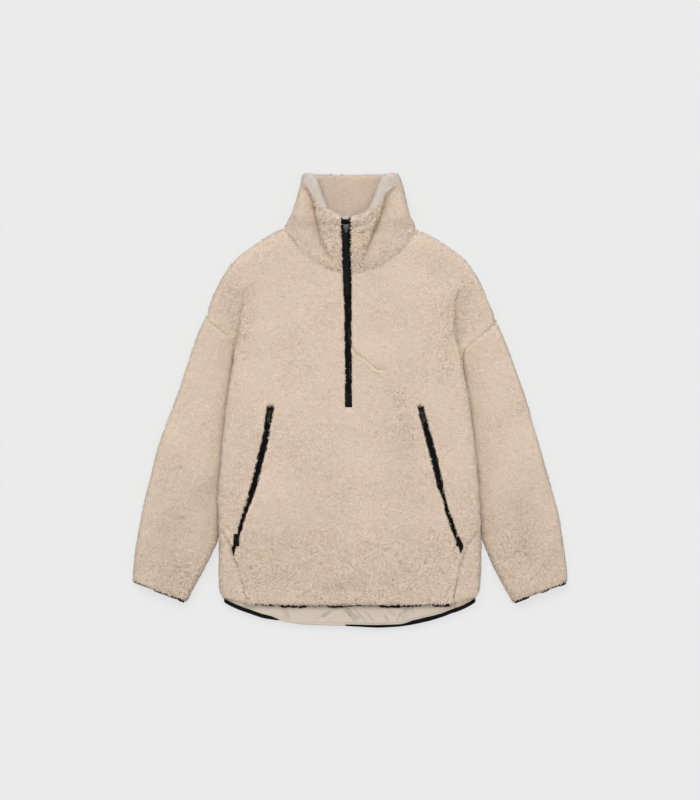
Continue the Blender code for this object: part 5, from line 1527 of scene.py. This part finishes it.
# y, left, right and underside of the strap
STRAP_LINE = ((318, -14.6, -2.9, 36.2), (312, -14.6, -2.9, 35.4), (304, -14.4, -2.8, 33.2),
              (296, -14.2, -2.6, 30.8), (270, -13.5, -2.0, 26.4), (244, -13.0, -1.4, 22.8),
              (222, -12.6, -0.8, 21.6), (197, -12.0, -0.4, 21.2))
strap = strip("front_strap", resampled(STRAP_LINE, 3.0), 2.0, STRAP,
              ("front_pull_strap",), crown=0.4, body="front_pull")

# ----------------------------------------
# Pocket zips: black tape and coil in each slit, a black tab with a pointed end sewn over its
# lower end, and black hairs of the tape's brushed edge that stray over the pile.
POCKET_TAPE_Z = 15.4
POCKET_TAPE_HALF = 4.7
POCKET_TOOTH = (1.7, 0.8, 0.9)
POCKET_TOOTH_OFF = 0.9
HAIR_END = -248.0         # y below which the tab hides the hairs
HAIR_SCALE = 0.8          # size of a hair against a lock of brushed pile
FUZZ_LEVEL = 21.5         # z of the fuzz over a slider
# y, left and right of each tab
POCKET_TABS = {
    "left": ((-253, -220.4, -211.4), (-264, -221, -212.4), (-275.5, -221.6, -214),
             (-277, -223.4, -215.8), (-280, -224.6, -216.4), (-288, -223, -219),
             (-294.5, -221.4, -220.6)),
    "right": ((-258, 201.8, 206.8), (-266, 203.6, 211.0), (-276, 205.8, 215.8),
              (-280, 206.6, 214.3), (-286, 208, 212), (-289.5, 209.3, 210.4)),
}
pocket_tapes, pocket_extras, pocket_tabs = {}, {}, {}
in_slit = (front_numbers >= POCKET_ROWS[0]) & (front_numbers <= POCKET_ROWS[1])
for number, side in enumerate(("left", "right")):
    cell = slit_cells[number] * COLUMN_STEP
    outward = -1.0 if side == "left" else 1.0
    line_y = (front_y[in_slit, cell] + front_y[in_slit, cell + COLUMN_STEP]) / 2.0
    line_x = slit[side][in_slit]
    level = np.full(len(line_x), POCKET_TAPE_Z)
    pocket_tapes[side] = strip(f"pocket_tape_{side}", np.stack([
        line_y, line_x - POCKET_TAPE_HALF, line_x + POCKET_TAPE_HALF, level], 1), TAPE_THICK,
        TAPE, (f"pocket_zip_{side}",), crown=0.9)
    y = np.arange(-284.0, -18.0, TOOTH_PITCH / 2.0)
    x = np.interp(y, line_y[::-1], line_x[::-1])
    x += np.where(np.arange(len(y)) % 2, POCKET_TOOTH_OFF, -POCKET_TOOTH_OFF)
    level = np.full(len(y), POCKET_TAPE_Z + TAPE_THICK + 0.7)
    teeth = blocks(f"pocket_teeth_{side}", np.stack([x, y, level], 1), POCKET_TOOTH, 0.0, COIL)
    hairs = []
    for edge, way in ((cell, -1.0), (cell + COLUMN_STEP, 1.0)):
        line = front_top[in_slit, edge] + (-0.6 * way, 0.0, 1.1)
        line = line[line[:, 1] > HAIR_END]
        base, normal = fringe(line, 1.7, 0.7, 300 + 10 * number + int(way))
        edge_name = "outer" if way == outward else "inner"
        hairs.append(tufts(f"pocket_hair_{side}_{edge_name}", base, normal, 0.0, BLACK_HAIR,
                           310 + number, flow=(way, -0.5, 0.0), swirl=0.7, scale=HAIR_SCALE))
    middle = np.array([(np.interp(y, line_y[::-1], line_x[::-1]), y, FUZZ_LEVEL)
                       for y in (-40.0, -30.0, -20.0, -12.0)])
    base, normal = fringe(middle, 5.0, 4.6, 330 + number)
    hairs.append(tufts(f"pocket_fuzz_{side}", base, normal, 0.0, BLACK_HAIR, 340 + number,
                       swirl=3.1, scale=HAIR_SCALE))
    pocket_extras[side] = [teeth, *hairs]
    rows = []
    for y, left, right in POCKET_TABS[side]:
        away = np.hypot(front_top[..., 0] - (left + right) / 2.0, front_top[..., 1] - y)
        rows.append((y, left, right, front_outer[..., 2].ravel()[away.argmin()] - 0.2))
    pocket_tabs[side] = strip(f"pocket_tab_{side}", resampled(rows, 3.0), 1.4, TAPE,
                              (f"pocket_end_tab_{side}",), crown=0.3)

# ----------------------------------------
# Lining: cream twill of the back where it shows below the front hem, with small wrinkles and a
# stitched line. From its left third to the middle it is rolled over the binding's edge.

# start x and y, end x and y, width and height of each wrinkle
LINING_WRINKLES = (
    (-131, -388, -119, -412, 4.2, -0.5), (-124, -388, -115, -415, 1.6, -0.4),
    (-62, -416, -44, -409, 5.0, -0.7), (-50, -410, -22, -393, 3.4, -0.7),
    (-57, -418, -40, -413, 4.5, 0.8), (-36, -412, -12, -397, 4.0, 0.7),
    (-20, -391, -2, -407, 1.6, -1.0), (-2, -407, 9.5, -420, 1.3, -1.3),
    (-9, -391, 14, -413, 5.0, -1.15), (-2, -394, 12, -408, 2.4, 0.8),
    (8, -396, 24, -414, 1.4, -0.9), (24, -414, 31, -420, 1.2, -0.6),
    (27, -402, 36, -409, 2.2, -0.5), (36, -409, 43, -419, 1.3, -0.9),
    (45, -400, 60, -409, 3.6, 0.6), (56, -403, 66, -409, 1.4, -0.6),
    (66, -409, 72, -419, 1.3, -1.0), (74, -400, 84, -408, 3.0, -0.5),
    (89, -418, 95, -408, 1.3, -1.3), (95, -408, 107, -397, 1.5, -1.1),
    (101, -412, 110, -398, 3.6, -0.6), (114, -396, 121, -404, 1.4, -0.8),
    (-98, -403, -74, -398, 4.0, 0.6), (-74, -392, -14, -390, 5.0, -0.5),
    (100, -395, 118, -394, 4.0, -0.8),
)
WRINKLE_DEPTH = 1.0       # deepest that a wrinkle sinks in the lining
LINING_TOP = -368.0       # y of its upper edge, hidden under the front
LINING_STEP = 4
# x and how far the binding reaches up from the back's cut edge
BINDING_SHOW = ((-240, 5.0), (-194, 5.8), (-166, 5.4), (-150, 4.4), (-136, 0.2), (-14, 0.2),
                (-4, 0.9), (40, 2.4), (60, 3.0), (96, 2.0), (108, 3.0), (118, 5.6), (146, 6.4),
                (171, 5.2), (201, 5.6), (240, 5.4))
# x and how far the binding sags below the edge
HEM_SAG = ((-240, 2.0), (-217, 2.8), (-194, 3.6), (-167, 4.2), (-152, 2.6), (-136, 0.4),
           (-100, 0.0), (142, 0.0), (171, 0.6), (190, 1.8), (205, 2.8), (240, 3.2))


def back_edge(x):
    """y of the cut edge of the back at x, over the back panel and the side panels."""
    low = BACK_TAIL[-1]
    share = np.clip((x - low[0]) / (low[3] - low[0]), 0.0, 1.0)
    bow = 1.0 - np.abs(2.0 * share - 1.0) ** NECK_POWER
    flat = low[1] + (low[4] - low[1]) * share
    middle = flat + (low[6] - (low[1] + low[4]) / 2.0) * bow - read(BACK_HEM_DROP, x, 1)
    for side in ("left", "right"):
        fold, fold_y, seam, _, seam_y = SIDE_ROWS[side][-1]
        beyond = np.sqrt(np.clip((x - fold) / (seam - fold), 0.0, 1.0))
        on_side = np.abs(x) > np.abs(seam)
        right_side = np.sign(x) == np.sign(seam)
        middle = np.where(on_side & right_side, fold_y + (seam_y - fold_y) * beyond, middle)
    return middle


def hem_edge(x):
    """y of the back's cut edge with the little that its binding sags below the solid's."""
    return back_edge(x) - read(HEM_SAG, x, 1)


def rolled(x):
    """1 where the lining is rolled over the binding, else 0."""
    return ease((x + 138.0) / 8.0) * ease((-6.0 - x) / 8.0)


LINING_FLOOR = SHERPA_WALL + SEAM_GAP
lining_x = np.linspace(-199.0, 199.0, 301)[:, None]
lining_roll = rolled(lining_x)
lining_low = hem_edge(lining_x) + read(BINDING_SHOW, lining_x, 1) + 0.3 - 2.4 * lining_roll
lining_share = np.linspace(0.0, 1.0, 25)[None, :] ** 1.3
lining_y = lining_low + lining_share * (LINING_TOP - lining_low)
lining_x = lining_x * np.ones_like(lining_y)
lining_fold = folds_at(lining_x, lining_y, LINING_WRINKLES)
# painted shade in the wrinkles and along the roll, and the front hem's painted shadow beside it
lining_shade = np.clip(-lining_fold, 0.0, 2.0) * (0.42 + 0.2 * noise(
    lining_x / 8.0, lining_y / 6.0, 53))
lining_shade = np.clip(lining_shade + 0.1 * lining_roll * bell(lining_y - lining_low - 6.0, 1.6)
                      + 0.25 * bell(lining_y + 391.0, 4.0), 0.0, 1.0)
lining_fold = np.maximum(lining_fold, -WRINKLE_DEPTH)
lining_fold += 0.5 * noise(lining_x / 21.0, lining_y / 14.0, 51)
lining_bare = ease((-388.0 - lining_y) / 8.0)
lining_lift = 1.1 * lining_roll * bell(lining_y - lining_low - 2.5, 3.5)
lining_sag = 1.2 * lining_roll * (1.0 - rise((lining_y - lining_low) / 1.8))
lining_z = LINING_FLOOR + 1.5 + lining_bare * lining_fold + lining_lift - lining_sag
lining_top = np.stack([lining_x, lining_y, lining_z], -1)[:, ::-1]
lining_under = lining_top[::LINING_STEP, ::LINING_STEP].copy()
lining_under[..., 2] = np.minimum(LINING_FLOOR, lining_under[..., 2] - 0.8)
lining = shell("lining_strip", lining_top, lining_under, (LINING_STEP, LINING_STEP), TWILL,
               values={"hollow": lining_shade[:, ::-1]})
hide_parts("lining_back_hem")
stitch_x = np.arange(-150.0, 190.0, 3.4)
stitch_y = hem_edge(stitch_x) + read(BINDING_SHOW, stitch_x, 1) + 3.6
slope = np.arctan(np.gradient(stitch_y, stitch_x))
level = np.full(len(stitch_x), LINING_FLOOR + 1.7)
lining_thread = blocks("lining_stitches", np.stack([stitch_x, stitch_y, level], 1),
                       (2.2, 0.7, 0.5), slope, THREAD)

# ----------------------------------------
# Bindings: black woven tape folded over the cut edges of the hem and cuffs. The pile hides much
# of it at the front hem and the cuffs, more in some places than in others.

# x and the share of the front binding that shows; below, the same of the cuffs' bindings
FRONT_PEEK = ((-194, 0), (-170, 0), (-166, 0.5), (-143, 0.5), (-139, 0), (-134, 0), (-130, 1),
              (-83, 1), (-78, 0), (-44, 0), (-40, 0.85), (-14, 0.75), (-9, 0.3), (3, 0.3),
              (7, 0.08), (54, 0.16), (60, 0.95), (92, 1), (96, 0.7), (134, 0.65), (138, 0),
              (155, 0), (160, 0.9), (190, 0.9), (194, 0.4))
CUFF_PEEK = {
    "left": ((-415, 0), (-374, 0), (-370, 0.6), (-332, 0.6), (-328, 0.2), (-324, 0.9),
             (-311, 1.0)),
    "right": ((309, 1.0), (316, 1.0), (319, 0.9), (338, 0.9), (341, 0.1), (360, 0.1),
              (364, 0.9), (374, 0.9), (378, 0.5), (395, 0.5), (399, 1.0), (415, 1.0)),
}
# distance onward from the cuff's edge of each ring of its binding, and more where it shows
CUFF_REACH = ((-1.5, 0.0), (0.4, 0.0), (0.7, 2.0), (1.1, 3.2))


def hem_tape(name, x, outside, inside):
    """Tape folded over a hem at places x, with the y and z across its two faces."""
    faces = [np.stack(np.broadcast_arrays(x, *face), -1) for face in (outside, inside)]
    return shell(name, *faces, (1, 1), TAPE)


places = np.linspace(-239.5, 238.5, 161)[:, None]
edge = hem_edge(places)
show = read(BINDING_SHOW, places, 1)
hidden = rolled(places)
lift = 3.2 * ease((np.abs(places) - 222.0) / 14.0)
ragged = 0.35 * noise(places / 2.6, np.zeros_like(places), 61)
level = SHERPA_WALL + SEAM_GAP
binding_y = np.hstack([edge - 2.3 + 1.6 * hidden, edge - 2.3 + 1.6 * hidden,
                       edge - 1.4 + 1.0 * hidden, edge + 0.5 * show, edge + show + ragged])
binding_z = np.hstack([0.0 * edge + 3.2, level + 0.4 + lift - 2.0 * hidden,
                       level + 1.3 + lift - 2.0 * hidden, level + 1.5 + lift - 1.4 * hidden,
                       level + 1.2 + lift - 1.2 * hidden])
inner_y = np.hstack([edge - 0.2, edge - 0.2, edge, edge + 0.5 * show, edge + show])
inner_z = 0.0 * edge + (3.2, level - 0.6, level, level, level)
back_binding = hem_tape("back_binding", places, (binding_y, binding_z), (inner_y, inner_z))
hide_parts("hem_binding_back")

places = np.linspace(-193.0, 193.0, 181)[:, None]
peek = read(FRONT_PEEK, places, 1) * (1.0 + 0.25 * noise(places / 3.0, np.zeros_like(places), 63))
hem = FRONT_ROWS[-1]
edge = hem[1] + (hem[6] - hem[1]) * (1.0 - np.abs(places / 194.0) ** NECK_POWER) - 0.3
low = edge - 1.0 - 4.4 * peek
front_y_cut = np.hstack([edge + 0.4, edge - 0.4, low + 0.5, low, low + 0.3])
front_z_cut = 0.0 * edge + (17.2, 17.0, 15.6, 14.6, 13.4)
front_binding = hem_tape("front_binding", places, (front_y_cut, front_z_cut),
                         (np.minimum(front_y_cut + 1.4, edge + 1.6), front_z_cut - 0.6))
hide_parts("hem_binding_front")
for side in ("left", "right"):
    end = {key: value[-1:] for key, value in sleeve_rows[side].items()}
    near = {key: value[-3:-2] for key, value in sleeve_rows[side].items()}
    onward_x = end["outer"] - near["outer"] + end["inner"] - near["inner"]
    onward_y = end["outer_y"] - near["outer_y"] + end["inner_y"] - near["inner_y"]
    size = np.hypot(onward_x, onward_y)
    rings = {}
    for depth in (0.35, 0.95):
        ring, _ = sleeve_form(end, (), depth)
        peek = read(CUFF_PEEK[side], ring[0, :, 0], 1)
        reaches = [least + more * peek for least, more in CUFF_REACH]
        rings[depth] = np.stack([
            ring[0] + np.stack([onward_x / size * reach, onward_y / size * reach, 0 * reach], -1)
            for reach in reaches])
    shell(f"cuff_tape_{side}", rings[0.35], rings[0.95], (1, 1), TAPE,
                                closed=True)
    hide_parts(f"cuff_binding_{side}")
